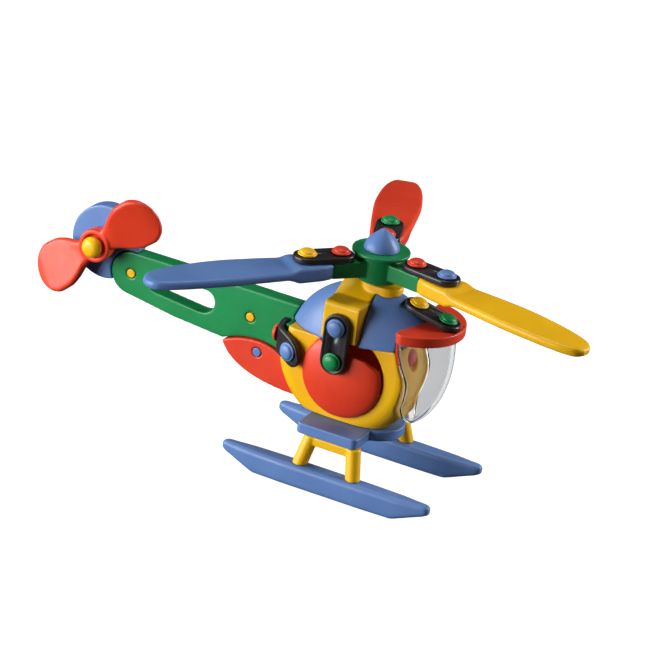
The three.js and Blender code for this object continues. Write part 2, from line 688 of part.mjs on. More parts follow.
// One paddle of the tail rotor, along +X from the hub, with a pitch that eases off towards the tip.
function paddleGeometry() {
  const { tipRadius, pitch: full } = TAIL_ROTOR;
  const half = [
    [0, 4],
    [9, 6],
    [15.7, 9.9],
    [21.3, 11.8],
    [26.9, 12],
    [31.4, 10.2],
    [34.7, 6.4],
    [tipRadius, 2.6],
  ];
  const thick = [[0, 3], [18, 2.2], [31.4, 1.7], [tipRadius, 0.8]];
  const stations = [2, 6, 11, 15.7, 21.3, 26.9, 31.4, 34.7, tipRadius];
  return loft(
    stations.map((s) => {
      const pitch = THREE.MathUtils.degToRad(full) * Math.min(1, s / 13.4);
      const w = along(half, s);
      const t = along(thick, s);
      return bevelledSection(w, -t, t, t * 0.7).map(([u, v]) =>
        vec(s, u * Math.sin(pitch) + v * Math.cos(pitch), u * Math.cos(pitch) - v * Math.sin(pitch)),
      );
    }).map((ring) => ring.reverse()),
  );
}

function tailRotorGeometry() {
  const { hubRadius, near, far, x, z, angle } = TAIL_ROTOR;
  const middle = (near + far) / 2;
  const paddles = [0, 180].map((turn) =>
    paddleGeometry().rotateY(THREE.MathUtils.degToRad(-angle - turn)).translate(0, middle, 0),
  );
  const hub = rod(vec(0, near, 0), LEFT, far - near, hubRadius, 24);
  const recess = rod(vec(0, near - 1, 0), LEFT, 3.4, 5.6, 20);
  const bore = rod(vec(0, -40, 0), LEFT, 60, BUTTON.shankRadius + FIT, ROUND);
  return cut(join(hub, ...paddles), recess, bore).translate(x, 0, z);
}

// The tail rotor's axle: a round knob outside and a long shank through the rotor, the fin and the strap.
function tailAxleGeometry() {
  const { near, x, z } = TAIL_ROTOR;
  const { shankRadius } = BUTTON;
  const face = near - 2.7;
  const end = FIN.left + strapTop + 0.6 - face - 0.9;
  const outline = [
    [0, -2],
    [2.6, -1.6],
    [4.2, -0.5],
    [4.9, 1],
    [4.6, 2.4],
    [3.4, 3.1],
    [shankRadius, 3.1],
    [shankRadius, end],
    [0, end],
  ];
  return new THREE.LatheGeometry(
    outline.map(([r, h]) => new THREE.Vector2(r, h)),
    16,
  ).translate(x, face, z);
}

piece("tail_boom", boomGeometry(), GREEN);
piece("belly_fairing", fairingGeometry(), RED);
piece("tail_fin", finGeometry(), BLUE);
piece("tail_rotor", tailRotorGeometry(), RED);
piece("tail_rotor_axle", tailAxleGeometry(), YELLOW);

// ---------------------------------------------------------------- main rotor

function hubGeometry() {
  const { radius, bottom, armBottom, armTop, armHalfWidth, armEnd } = HUB;
  const barrel = rod(vec(0, 0, bottom), UP, FLANGE_DISC.bottom - bottom + 0.5, radius, 28);
  const { bottom: discBottom, top: discTop, radius: discRadius } = FLANGE_DISC;
  const disc = rod(vec(0, 0, discBottom), UP, discTop - discBottom, discRadius, 32);
  const arms = BLADES.map(({ azimuth }) =>
    box(0, armEnd, -armHalfWidth, armHalfWidth, armBottom, armTop).rotateZ(THREE.MathUtils.degToRad(azimuth)),
  );
  const bore = rod(vec(0, 0, bottom - 5), UP, 40, BUTTON.shankRadius + FIT, ROUND);
  const straps = BLADES.map(({ axis }) => bladeStrapGeometry(axis, FIT));
  const holes = BLADES.map(({ name }) => buttonHole(buttons[`hub_button_${name}`]));
  return cut(join(barrel, disc, ...arms), bore, ...straps, ...holes);
}

// The strap on top of a rotor arm and its blade, grown a little when it is used to cut its own seat.
function bladeStrapGeometry(axis, grow = 0) {
  const middle = axis.clone().multiplyScalar((BLADE.inner + BLADE.outer) / 2).setZ(HUB.armTop + SEAT);
  if (!grow) return strapGeometry(middle, axis, UP);
  const reach = BLADE.inner - STRAP.radius - grow;
  const block = box(reach, 60, -STRAP.radius - grow, STRAP.radius + grow, HUB.armTop, FLANGE_DISC.top + 4);
  return block.rotateZ(Math.atan2(axis.y, axis.x));
}

// A rotor blade along +X: a raised root that takes the strap, then a flat paddle that droops a little.
function bladeGeometry() {
  const { radius, bottom, top, rootEnd, droop } = BLADE;
  const start = HUB.armEnd + FIT;
  const half = [
    [start, 6.2],
    [30, 7.8],
    [36, 8.5],
    [rootEnd, 9.2],
    [56, 10.1],
    [74, 10.9],
    [88, 10.2],
    [99, 8.8],
    [106, 6.8],
    [109, 4.8],
    [radius, 2.2],
  ];
  const { armTop, armBottom } = HUB;
  const edge = 0.8;
  const roof = [[rootEnd - 2, armTop], [rootEnd + 3, top], [radius - 3, top], [radius, top - edge]];
  const tipFloor = bottom + edge;
  const floor = [[rootEnd - 2, armBottom], [rootEnd + 4, bottom], [radius - 3, bottom], [radius, tipFloor]];
  const stations = [start, 30, rootEnd - 2, rootEnd + 3.5, 56, 74, 88, 99, 106, 109, radius];
  return loft(
    stations.map((x) => {
      const sag = droop * (Math.max(0, x - rootEnd) / (radius - rootEnd)) ** 2;
      return bevelledSection(along(half, x), along(floor, x) - sag, along(roof, x) - sag, 1.4).map(
        ([u, v]) => vec(x, u, v),
      );
    }),
  );
}

// A pointed round cap on an axle pin that turns in the bracket's boss.
function capGeometry() {
  const { radius, height, pinEnd } = CAP;
  const base = FLANGE_DISC.top + SEAT;
  const { shankRadius } = BUTTON;
  const side = evenly(0, 1, 7).map((t) => [radius * Math.cos((t * Math.PI) / 2) ** 0.85, height * t]);
  const profile = [
    [0, pinEnd - base],
    [shankRadius, pinEnd - base],
    [shankRadius, 0],
    ...side.slice(0, -1),
    [0, height],
  ];
  return new THREE.LatheGeometry(
    profile.map(([r, h]) => new THREE.Vector2(r, h)),
    20,
  )
    .rotateX(Math.PI / 2)
    .translate(0, 0, base);
}

piece("rotor_hub", hubGeometry(), GREEN);
piece("rotor_cap", capGeometry(), BLUE);
for (const { name, azimuth, axis, material } of BLADES) {
  const blade = bladeGeometry().rotateZ(THREE.MathUtils.degToRad(azimuth));
  piece(`blade_${name}`, cut(blade, ...holesFor(`blade_button_${name}`)), material);
  piece(`blade_strap_${name}`, bladeStrapGeometry(axis), RUBBER);
}

// ---------------------------------------------------------------- straps and buttons

for (const [side, out] of [["right", RIGHT], ["left", LEFT]]) {
  const middleZ = (SIDE_BUTTON_Z[0] + SIDE_BUTTON_Z[1]) / 2;
  const middle = vec(SIDE_STRAP_X, out.y * (BRACKET.halfWidth + SEAT), middleZ);
  piece(`side_strap_${side}`, strapGeometry(middle, UP, out), RUBBER);
}

piece("visor_strap", strapGeometry(visorMiddle, visorAlong, visorOut, VISOR_STRAP.pitch), RUBBER);

function flatStrapBetween(a, b) {
  const middle = a.clone().add(b).divideScalar(2).setY(BOOM.halfWidth + SEAT);
  const direction = b.clone().sub(a).setY(0);
  return strapGeometry(middle, direction.clone().normalize(), LEFT, direction.length());
}
const fairingPin = vec(FAIRING.pinX, 0, FAIRING.pinZ);
const boomEnd = vec(BOOM.tailX, 0, BOOM.tailZ);
const finMiddle = vec(TAIL_ROTOR.x, 0, TAIL_ROTOR.z);
piece("fairing_strap", flatStrapBetween(BOOM_PIN, fairingPin), RUBBER);
piece("tail_strap", flatStrapBetween(boomEnd, finMiddle), RUBBER);

// A strap bent round the corner between the boom's flange and the body's side.
function cornerStrapGeometry() {
  const { radius, thickness } = STRAP;
  const { flangeY, flangeZ, bodyX, bodyY, bodyZ, turn } = BOOM_STRAP;
  const angle = THREE.MathUtils.degToRad(90 - turn);
  const heading = [Math.sin(angle), Math.cos(angle)];
  const inner = FLANGE.x - SEAT;
  const back = (bodyX - inner) / heading[0];
  const cornerY = bodyY - heading[1] * back;
  const firstArm = cornerY - flangeY;
  const bend = 2.4;
  const length = firstArm + back;
  const slope = (bodyZ - flangeZ) / length;
  const rings = [];
  for (const u of [-1, -0.92, -0.7, -0.35].map((s) => s * radius)
    .concat(evenly(0, firstArm - bend, 2), evenly(firstArm - bend * 0.6, firstArm + bend, 5))
    .concat([length * 0.75, length])
    .concat([0.35, 0.7, 0.92, 1].map((s) => length + s * radius))) {
    const over = u < 0 ? -u : Math.max(0, u - length);
    const half = Math.max(0.8, Math.sqrt(Math.max(0, radius ** 2 - over ** 2)));
    const t = THREE.MathUtils.clamp((u - firstArm + bend) / (2 * bend), 0, 1);
    const direction = angle * t;
    const soft = bend * t * t;
    const past = u > firstArm + bend;
    const x = inner + heading[0] * (past ? u - firstArm : soft);
    const y = flangeY + (past ? firstArm + heading[1] * (u - firstArm) : u - soft * (1 - heading[1]));
    const out = [-Math.cos(direction), Math.sin(direction)];
    const z = flangeZ + slope * u;
    rings.push(
      [[0.1, -half], [thickness, -half], [thickness, half], [0.1, half]].map(([t2, w]) =>
        vec(x + out[0] * t2, y + out[1] * t2, z + w),
      ),
    );
  }
  return cut(loft(rings), ...holesFor("flange_button_left", "body_button_left"));
}
piece("corner_strap_left", cornerStrapGeometry(), RUBBER);
piece("corner_strap_right", mirrored(cornerStrapGeometry()), RUBBER);

for (const [name, button] of Object.entries(buttons)) {
  piece(name, buttonGeometry(button), button.material);
}

// ---------------------------------------------------------------- assembly

const helicopter = new THREE.Group();
helicopter.name = "toy_helicopter";
helicopter.add(...meshes);
helicopter.position.copy(CENTRE);

export default helicopter;
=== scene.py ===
"""Toy helicopter: moulded plastic pieces held together by rubber straps and push-in buttons.

Shapes are worked out in millimetres about the main rotor's axis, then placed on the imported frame.
+X is the nose, +Y the left side, +Z up.
"""

import json
import math

import bmesh
import bpy
from mathutils import Matrix, Vector


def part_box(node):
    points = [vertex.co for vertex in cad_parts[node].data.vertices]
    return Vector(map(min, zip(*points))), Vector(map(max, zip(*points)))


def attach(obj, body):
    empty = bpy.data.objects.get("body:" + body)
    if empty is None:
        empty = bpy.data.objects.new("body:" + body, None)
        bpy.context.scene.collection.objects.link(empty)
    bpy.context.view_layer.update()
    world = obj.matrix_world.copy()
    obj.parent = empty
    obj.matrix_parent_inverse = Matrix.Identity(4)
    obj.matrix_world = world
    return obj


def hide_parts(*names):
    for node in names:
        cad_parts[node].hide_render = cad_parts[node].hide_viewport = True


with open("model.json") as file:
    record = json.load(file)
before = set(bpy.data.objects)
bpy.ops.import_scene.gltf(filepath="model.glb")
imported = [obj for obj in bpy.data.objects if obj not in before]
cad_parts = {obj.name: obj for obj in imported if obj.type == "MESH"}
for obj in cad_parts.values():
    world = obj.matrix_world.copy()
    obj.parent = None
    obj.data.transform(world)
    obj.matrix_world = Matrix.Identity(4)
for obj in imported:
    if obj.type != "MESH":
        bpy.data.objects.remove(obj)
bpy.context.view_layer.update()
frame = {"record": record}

BODY_OF = {
    node: body
    for body, nodes in frame["record"]["behaviour"]["bodies"].items()
    for node in nodes
}

UP = Vector((0, 0, 1))
LEFT = Vector((0, 1, 0))
AHEAD = Vector((1, 0, 0))
REAR = Vector((-1, 0, 0))
SIDES = (("right", -1), ("left", 1))

# ---------------------------------------------------------------- shared sizes, in millimetres

MM = 0.001  # metres in a millimetre
FIT = 0.3  # clearance round a shank, and between shaped neighbours
SEAT = 0.1  # gap under a strap
FAR = 80  # the reach of bodies that only cut, past every edge they meet
MIDDLE_Z = 65  # the height that the camera and the lamps aim at

SKID_LOW, SKID_HIGH, SKID_Y = -1.2, 9.6, 27.1
BARREL_X, BARREL_Z, BARREL_HALF = -5, 56, 14.5
WINDOW_X, WINDOW_Z, SHELL_RADIUS = -4, 51, 19.3
ROOF_FRONT, VISOR_LOW, VISOR_HIGH = 19.2, 77.2, 82
BOOM_HALF, BOOM_TOP, TAIL_RADIUS = 4, 72.2, 10.3
FLANGE_REAR, FLANGE_FRONT = -36.2, -33.6
STRAP_RADIUS, STRAP_PITCH = 6.2, 16.2

# Pins through the boom and the fin, in X and Z.
BOOM_PIN, FAIRING_PIN, TAIL_PIN, AXLE = (-57.4, 59.4), (-51.4, 44.5), (-119.9, 62.1), (-134.7, 74.4)
# Pins at the two ends of the left corner strap.
FLANGE_PIN, BODY_PIN = Vector((FLANGE_REAR, 10.6, 60)), Vector((-29.2, 15.6, 55.8))

cap_low, cap_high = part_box("rotor_cap")
cap = (cap_low + cap_high) / 2
floor_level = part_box("skid_right")[0].z
ORIGIN = Vector((cap.x, cap.y, floor_level - SKID_LOW * MM))
TO_FRAME = Matrix.Translation(ORIGIN) @ Matrix.Scale(MM, 4)

# ---------------------------------------------------------------- outlines


def arc(x, y, radius, start, end, count=32):
    """Points on a circle, from one angle in radians to another."""
    angles = [start + (end - start) * i / (count - 1) for i in range(count)]
    return [(x + radius * math.cos(a), y + radius * math.sin(a)) for a in angles]


def bezier(*controls, count=20):
    """Points on a quadratic or cubic curve, both ends included."""
    result = []
    for i in range(count):
        t = i / (count - 1)
        level = [Vector(c) for c in controls]
        while len(level) > 1:
            level = [a.lerp(b, t) for a, b in zip(level, level[1:])]
        result.append(tuple(level[0]))
    return result


def spline(points, steps=12):
    """A smooth line through 2D points."""
    pts = [Vector(p) for p in points]
    pts = [pts[0] * 2 - pts[1]] + pts + [pts[-1] * 2 - pts[-2]]
    result = []
    for a, b, c, d in zip(pts, pts[1:], pts[2:], pts[3:]):
        for i in range(steps):
            t = i / steps
            p = b * 2 + (c - a) * t + (a * 2 - b * 5 + c * 4 - d) * t * t
            result.append(tuple((p + (b * 3 - a - c * 3 + d) * t**3) / 2))
    return result + [tuple(pts[-2])]


def along(stations, at):
    """A value that runs smoothly, without overshoot, through [position, value] stations."""
    if at <= stations[0][0]:
        return stations[0][1]
    if at >= stations[-1][0]:
        return stations[-1][1]
    i = next(k for k, s in enumerate(stations) if s[0] > at) - 1
    slopes = [(b[1] - a[1]) / (b[0] - a[0]) for a, b in zip(stations, stations[1:])]

    def tangent(k):
        if k == 0 or k == len(stations) - 1:
            return slopes[min(k, len(slopes) - 1)]
        before, after = slopes[k - 1], slopes[k]
        return 0 if before * after <= 0 else 2 * before * after / (before + after)

    (x0, y0), (x1, y1) = stations[i], stations[i + 1]
    h = x1 - x0
    t = (at - x0) / h
    rise = y0 * (1 + 2 * t) * (1 - t) ** 2 + y1 * t * t * (3 - 2 * t)
    return rise + h * (tangent(i) * t * (1 - t) ** 2 - tangent(i + 1) * t * t * (1 - t))


def soften(points, reach, steps=5):
    """An open line with each inner corner rounded."""
    pts = [Vector(p) for p in points]
    result = [tuple(pts[0])]
    for a, b, c in zip(pts, pts[1:], pts[2:]):
        back = min(reach, (a - b).length * 0.45)
        on = min(reach, (c - b).length * 0.45)
        p, q = b + (a - b).normalized() * back, b + (c - b).normalized() * on
        result += bezier(p, b, q, count=steps)
    return result + [tuple(pts[-1])]


def evenly(start, end, count):
    return [start + (end - start) * i / (count - 1) for i in range(count)]


# ---------------------------------------------------------------- solids


def solid(points, faces):
    """A closed body from points and faces."""
    mesh = bpy.data.meshes.new("solid")
    mesh.from_pydata([tuple(p) for p in points], [], faces)
    work = bmesh.new()
    work.from_mesh(mesh)
    bmesh.ops.remove_doubles(work, verts=work.verts, dist=1e-4)
    bmesh.ops.recalc_face_normals(work, faces=work.faces)
    work.to_mesh(mesh)
    work.free()
    obj = bpy.data.objects.new("solid", mesh)
    bpy.context.scene.collection.objects.link(obj)
    return obj


def loft(rings):
    """A closed body over rings of equally many points."""
    count = len(rings[0])
    faces = []
    for i in range(len(rings) - 1):
        for j in range(count):
            a, b = i * count + j, i * count + (j + 1) % count
            faces.append((a, b, b + count, a + count))
    last = (len(rings) - 1) * count
    faces.append(tuple(range(count))[::-1])
    faces.append(tuple(range(last, last + count)))
    return solid([p for ring in rings for p in ring], faces)


def lathe(profile, segments=96):
    """A body turned round Z from a (radius, height) line that starts and ends on the axis."""
    points, rows, faces = [], [], []
    for radius, height in profile:
        if radius < 1e-4:
            rows.append([len(points)] * segments)
            points.append((0, 0, height))
        else:
            rows.append(list(range(len(points), len(points) + segments)))
            for i in range(segments):
                a = math.tau * i / segments
                points.append((radius * math.cos(a), radius * math.sin(a), height))
    for low, high in zip(rows, rows[1:]):
        for j in range(segments):
            k = (j + 1) % segments
            corners = list(dict.fromkeys((low[j], low[k], high[k], high[j])))
            if len(corners) > 2:
                faces.append(corners)
    return solid(points, faces)


def prism(outline, low, high, axis="z"):
    """A flat outline carried from one level of an axis to another."""
    clean = [p for i, p in enumerate(outline) if (Vector(p) - Vector(outline[i - 1])).length > 1e-3]
    place = {
        "x": lambda u, v, w: (w, u, v),
        "y": lambda u, v, w: (u, w, v),
        "z": lambda u, v, w: (u, v, w),
    }[axis]
    return loft([[place(u, v, w) for u, v in clean] for w in (low, high)])


def box(x0, x1, y0, y1, z0, z1):
    return prism([(x0, y0), (x1, y0), (x1, y1), (x0, y1)], z0, z1)


def move(obj, matrix):
    obj.data.transform(matrix)
    if matrix.determinant() < 0:
        obj.data.flip_normals()
    return obj


def aim(obj, direction, at=(0, 0, 0)):
    """Turns a body's +Z to a direction and moves its origin to a point."""
    turn = UP.rotation_difference(Vector(direction)).to_matrix().to_4x4()
    return move(obj, Matrix.Translation(at) @ turn)


def rod(start, direction, length, radius, segments=72):
    return aim(lathe([(0, 0), (radius, 0), (radius, length), (0, length)], segments), direction, start)


def apply(obj):
    """Keeps the result of a body's modifiers as its mesh."""
    graph = bpy.context.evaluated_depsgraph_get()
    made = bpy.data.meshes.new_from_object(obj.evaluated_get(graph))
    obj.modifiers.clear()
    old, obj.data = obj.data, made
    bpy.data.meshes.remove(old)
    return obj


def combine(operation, base, tools):
    for tool in tools:
        step = base.modifiers.new("step", "BOOLEAN")
        step.operation = operation
        step.solver = "MANIFOLD"
        step.object = tool
    apply(base)
    for tool in tools:
        bpy.data.meshes.remove(tool.data)
    return base


def cut(base, *tools):
    return combine("DIFFERENCE", base, tools)


def join(base, *tools):
    return combine("UNION", base, tools)


def common(base, tool):
    return combine("INTERSECT", base, [tool])


def copy(obj):
    twin = bpy.data.objects.new("solid", obj.data.copy())
    bpy.context.scene.collection.objects.link(twin)
    return twin


def mould(obj, grid=0.4, passes=8):
    """Rounds every edge a little, as a moulded piece has them."""
    skin = obj.modifiers.new("skin", "REMESH")
    skin.mode = "VOXEL"
    skin.voxel_size = grid
    relax = obj.modifiers.new("relax", "SMOOTH")
    relax.factor = 0.5
    relax.iterations = passes
    return apply(obj)


def mirrored(obj):
    return move(copy(obj), Matrix.Scale(-1, 4, LEFT))


# ---------------------------------------------------------------- materials

CLOUD_SCALE, SPECK_SCALE, GLOSS_SCALE = 38, 1500, 260  # noise cells in a metre


def srgb(red, green, blue):
    return tuple(((c / 255 + 0.055) / 1.055) ** 2.4 for c in (red, green, blue)) + (1.0,)


def node(tree, kind, links=(), **values):
    made = tree.nodes.new(kind)
    for key, value in values.items():
        if key in made.inputs.keys():
            made.inputs[key].default_value = value
        else:
            setattr(made, key, value)
    for socket, source in links:
        tree.links.new(source, made.inputs[socket])
    return made


def noise(tree, place, scale, detail):
    return node(tree, "ShaderNodeTexNoise", [("Vector", place)], Scale=scale, Detail=detail).outputs["Fac"]


def spread(tree, value, low, high, to_low, to_high):
    """A value between two levels, stretched to two others."""
    return node(
        tree,
        "ShaderNodeMapRange",
        [("Value", value)],
        **{"From Min": low, "From Max": high, "To Min": to_low, "To Max": to_high},
    ).outputs["Result"]


def blend(tree, share, first, second):
    """Two colours mixed by a share; each is a socket or a fixed colour."""
    mix = tree.nodes.new("ShaderNodeMix")
    mix.data_type = "RGBA"
    tree.links.new(share, mix.inputs[0])
    for socket, colour in ((mix.inputs[6], first), (mix.inputs[7], second)):
        if isinstance(colour, tuple):
            socket.default_value = colour
        else:
            tree.links.new(colour, socket)
    return mix.outputs[2]


def relief(tree, place, layers):
    """Fine surface relief from layers of (scale, detail, strength, depth in metres)."""
    normal = None
    for scale, detail, strength, depth in layers:
        links = [("Height", noise(tree, place, scale, detail))]
        if normal:
            links.append(("Normal", normal))
        normal = node(tree, "ShaderNodeBump", links, Strength=strength, Distance=depth).outputs["Normal"]
    return normal


def moulded(name, dark, middle, light, rough, grain, coat):
    """Satin moulded plastic or rubber: cloudy pigment, fine grain, and edges painted paler as a highlight."""
    material = bpy.data.materials.new(name)
    material.use_nodes = True
    tree = material.node_tree
    shader = tree.nodes["Principled BSDF"]
    place = node(tree, "ShaderNodeTexCoord").outputs["Object"]
    cloud = spread(tree, noise(tree, place, CLOUD_SCALE, 4), 0.35, 0.65, 0, 1)
    colour = blend(tree, cloud, dark, middle)
    speck = spread(tree, noise(tree, place, SPECK_SCALE, 2), 0.5, 0.75, 0, 0.07)
    colour = blend(tree, speck, colour, light)
    # Pointiness blends sharp edges toward the pale colour: a painted highlight along every edge.
    edge = node(tree, "ShaderNodeNewGeometry").outputs["Pointiness"]
    edge_highlight = spread(tree, edge, 0.53, 0.64, 0, 0.35)
    colour = blend(tree, edge_highlight, colour, light)
    tree.links.new(colour, shader.inputs["Base Color"])
    gloss = spread(tree, noise(tree, place, GLOSS_SCALE, 5), 0.3, 0.7, rough - 0.05, rough + 0.06)
    tree.links.new(gloss, shader.inputs["Roughness"])
    tree.links.new(relief(tree, place, grain), shader.inputs["Normal"])
    shader.inputs["IOR"].default_value = 1.44
    shader.inputs["Coat Weight"].default_value = coat
    shader.inputs["Coat Roughness"].default_value = 0.22
    return material


def clear():
    """Clear plastic with a faint ripple, which lets the lamps shine on what is behind it."""
    material = bpy.data.materials.new("clear_plastic_fine")
    material.use_nodes = True
    tree = material.node_tree
    shader = tree.nodes["Principled BSDF"]
    place = node(tree, "ShaderNodeTexCoord").outputs["Object"]
    shader.inputs["Base Color"].default_value = srgb(214, 216, 218)
    shader.inputs["Transmission Weight"].default_value = 1
    shader.inputs["IOR"].default_value = 1.47
    gloss = spread(tree, noise(tree, place, 180, 4), 0.35, 0.7, 0.01, 0.05)
    tree.links.new(gloss, shader.inputs["Roughness"])
    ripple = relief(tree, place, [(70, 2, 0.12, 0.0004), (700, 2, 0.05, 0.00004)])
    tree.links.new(ripple, shader.inputs["Normal"])
    shadow = node(tree, "ShaderNodeLightPath").outputs["Is Shadow Ray"]
    through = node(tree, "ShaderNodeBsdfTransparent", Color=srgb(92, 90, 88))
    links = [(0, shadow), (1, shader.outputs["BSDF"]), (2, through.outputs["BSDF"])]
    mix = node(tree, "ShaderNodeMixShader", links)
    tree.links.new(mix.outputs["Shader"], tree.nodes["Material Output"].inputs["Surface"])
    return material


SATIN = [(90, 2, 0.05, 0.0003), (900, 3, 0.07, 0.00002)]
RUBBER = [(160, 2, 0.08, 0.0003), (1300, 3, 0.12, 0.00003)]
# Each finish has a dark and a middle pigment tone, and a pale tone that is used for random flecks and for the
# painted edge highlight.
MATERIALS = {
    "red_plastic": moulded(
        "red_plastic_fine", srgb(216, 54, 24), srgb(227, 64, 33), srgb(238, 108, 80), 0.42, SATIN, 0.05
    ),
    "blue_plastic": moulded(
        "blue_plastic_fine", srgb(88, 122, 180), srgb(97, 131, 189), srgb(146, 173, 220), 0.42, SATIN, 0.05
    ),
    "yellow_plastic": moulded(
        "yellow_plastic_fine", srgb(237, 176, 0), srgb(247, 191, 0), srgb(255, 220, 70), 0.4, SATIN, 0.05
    ),
    "green_plastic": moulded(
        "green_plastic_fine", srgb(0, 127, 65), srgb(2, 137, 73), srgb(60, 170, 110), 0.42, SATIN, 0.05
    ),
    "black_rubber": moulded(
        "black_rubber_fine", srgb(30, 29, 31), srgb(38, 37, 40), srgb(92, 91, 95), 0.36, RUBBER, 0.2
    ),
    "clear_plastic": clear(),
}


def piece(name, obj, slot):
    """A finished piece that stands for the CAD node of that name."""
    move(obj, TO_FRAME)
    obj.name = name + "_fine"
    obj.data.name = obj.name
    obj.data.materials.clear()
    obj.data.materials.append(MATERIALS[slot])
    obj.data.polygons.foreach_set("use_smooth", [True] * len(obj.data.polygons))
    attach(obj, BODY_OF[name])
    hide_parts(name)


# ---------------------------------------------------------------- buttons and straps

SHANK = 2.1
STRAP_TOP = 2.8 + SEAT

# A head's lip and dome as (radius, height) lines over its seat.
LIP = soften([(SHANK, SEAT), (4.12, SEAT), (4.3, 0.3), (4.3, 0.75), (3.95, 1.05), (3.62, 1.08)], 0.16)
DOME = [(3.55 * math.cos(t), 1.15 + 1.55 * math.sin(t) ** 0.9) for t in evenly(0.02, math.pi / 2, 14)]


def button(name, slot, seat, out, grip):
    """A push-in button: a domed head on a thin lip, over a shank with a rounded end."""
    foot = soften([(0, -grip), (SHANK, -grip), (SHANK, -grip + 2)], 0.5)
    profile = foot + LIP + DOME[:-1] + [(0, DOME[-1][1])]
    piece(name, aim(lathe(profile, 64), out, seat), slot)


def hole(seat, out, grip):
    """The room that a button's shank needs."""
    out = Vector(out)
    return rod(Vector(seat) - out * (grip + FIT), out, grip + FIT + 2, SHANK + FIT, 40)


def stadium(half, radius, level):
    """A ring with two straight sides and two round ends."""
    ends = arc(half, 0, radius, -math.pi / 2, math.pi / 2, 28)
    ends += arc(-half, 0, radius, math.pi / 2, 1.5 * math.pi, 28)
    return [(x, y, level) for x, y in ends]


# A strap's edge from its underside up over the raised rim, as (inset, height) pairs.
RIM = [(-0.7, 0), (-0.25, 0.12), (-0.04, 0.45), (0, 0.9), (0, 1.9), (-0.04, 2.3), (-0.2, 2.6)]
RIM += [(-0.5, 2.77), (-0.85, 2.8), (-1.15, 2.7), (-1.35, 2.52), (-1.5, 2.46), (-1.8, 2.44)]


def strap(middle, direction, out, pitch=STRAP_PITCH):
    """A flat rubber strap with round ends, a raised rim and two button holes."""
    bar = loft([stadium(pitch / 2, STRAP_RADIUS + inset, level) for inset, level in RIM])
    bar = cut(bar, *[rod((x, 0, -1), UP, 6, SHANK + FIT, 40) for x in (-pitch / 2, pitch / 2)])
    direction, out = Vector(direction), Vector(out)
    turn = Matrix((direction, out.cross(direction), out)).transposed().to_4x4()
    return move(bar, Matrix.Translation(middle) @ turn)


# The straps at the cabin's sides and on the visor.
SIDE_X, SIDE_Y, SIDE_Z = -6, 20.5, (76.2, 60)
VISOR_REAR = Vector((20.8, 0, 85.75))
VISOR_SLOPE = math.radians(-12.9)
VISOR_PITCH = 15
VISOR_ALONG = Vector((math.cos(VISOR_SLOPE), 0, math.sin(VISOR_SLOPE)))
VISOR_OUT = Vector((-VISOR_ALONG.z, 0, VISOR_ALONG.x))
VISOR_MIDDLE = VISOR_REAR + VISOR_ALONG * VISOR_PITCH / 2 + VISOR_OUT * SEAT
VISOR_SEAT = VISOR_REAR + VISOR_OUT * STRAP_TOP

# Each button's slot, the middle of its head's seat, the way it points, and its shank's length.
BUTTONS = {
    "roof_button": ("yellow_plastic", VISOR_SEAT, VISOR_OUT, 8),
    "visor_button": ("green_plastic", VISOR_SEAT + VISOR_ALONG * VISOR_PITCH, VISOR_OUT, 6.5),
}
for name, slot, (x, z), grip in (
    ("boom_button_front", "yellow_plastic", BOOM_PIN, 11.1),
    ("fairing_button", "blue_plastic", FAIRING_PIN, 12.6),
    ("boom_button_rear", "yellow_plastic", TAIL_PIN, 11.1),
):
    BUTTONS[name] = (slot, (x, BOOM_HALF + STRAP_TOP, z), LEFT, grip)
BUTTONS["canopy_button"] = ("red_plastic", (20.4, 0, 62.4), AHEAD, 7)
TURN = math.radians(18)  # how far the corner buttons on the body point to the rear
for side, sign in SIDES:
    outward = Vector((0, sign, 0))
    y = sign * (SIDE_Y + STRAP_TOP)
    BUTTONS["bracket_button_" + side] = ("blue_plastic", (SIDE_X, y, SIDE_Z[0]), outward, 6.5)
    BUTTONS["shell_button_" + side] = ("green_plastic", (SIDE_X, y, SIDE_Z[1]), outward, 7)
    turned = Vector((-math.sin(TURN), sign * math.cos(TURN), 0))
    on_flange = Vector((FLANGE_PIN.x, sign * FLANGE_PIN.y, FLANGE_PIN.z)) + REAR * STRAP_TOP
    on_body = Vector((BODY_PIN.x, sign * BODY_PIN.y, BODY_PIN.z)) + turned * STRAP_TOP
    BUTTONS["flange_button_" + side] = ("red_plastic", on_flange, REAR, 5)
    BUTTONS["body_button_" + side] = ("blue_plastic", on_body, turned, 8)

# Each blade's slot, the way it points in degrees, and the slot of its outer button.
BLADES = {
    "blue": ("blue_plastic", 230.95, "yellow_plastic"),
    "yellow": ("yellow_plastic", 350.1, "blue_plastic"),
    "red": ("red_plastic", 110, "green_plastic"),
}
BLADE_INNER, BLADE_OUTER, ARM_LOW, ARM_TOP = 19.4, 35.6, 97.4, 104.9


def spoke_of(azimuth):
    return Vector((math.cos(math.radians(azimuth)), math.sin(math.radians(azimuth)), 0))


for colour, (slot, azimuth, head) in BLADES.items():
    spoke = spoke_of(azimuth)
    level = Vector((0, 0, ARM_TOP + STRAP_TOP))
    BUTTONS["hub_button_" + colour] = ("red_plastic", spoke * BLADE_INNER + level, UP, 8)
    BUTTONS["blade_button_" + colour] = (head, spoke * BLADE_OUTER + level, UP, 8)


def holes(*names):
    return [hole(*BUTTONS[name][1:]) for name in names]


# ---------------------------------------------------------------- landing gear

SKID_HALF, SKID_ROUND = 51.5, 1.9  # half the length, and the length of a rounded end
SKID_FLAT, SKID_TIP, SKID_RISE = 34.9, 50.5, 5.8  # the underside rises between the first two
SKID_WIDTHS = [[0.4, 4.7], [0.72, 4.1], [1, 2.4]]
LEG_X, LEG_Y, LEG_RADIUS = 10.3, 24, 3.4
FOOT_X, FOOT_Z = 13.2, 9.7
BAR_LOW, BAR_HIGH, BAR_HALF = 19.6, 23.6, 3
PLATE_LOW, PLATE_HIGH = 23.8, 28.8


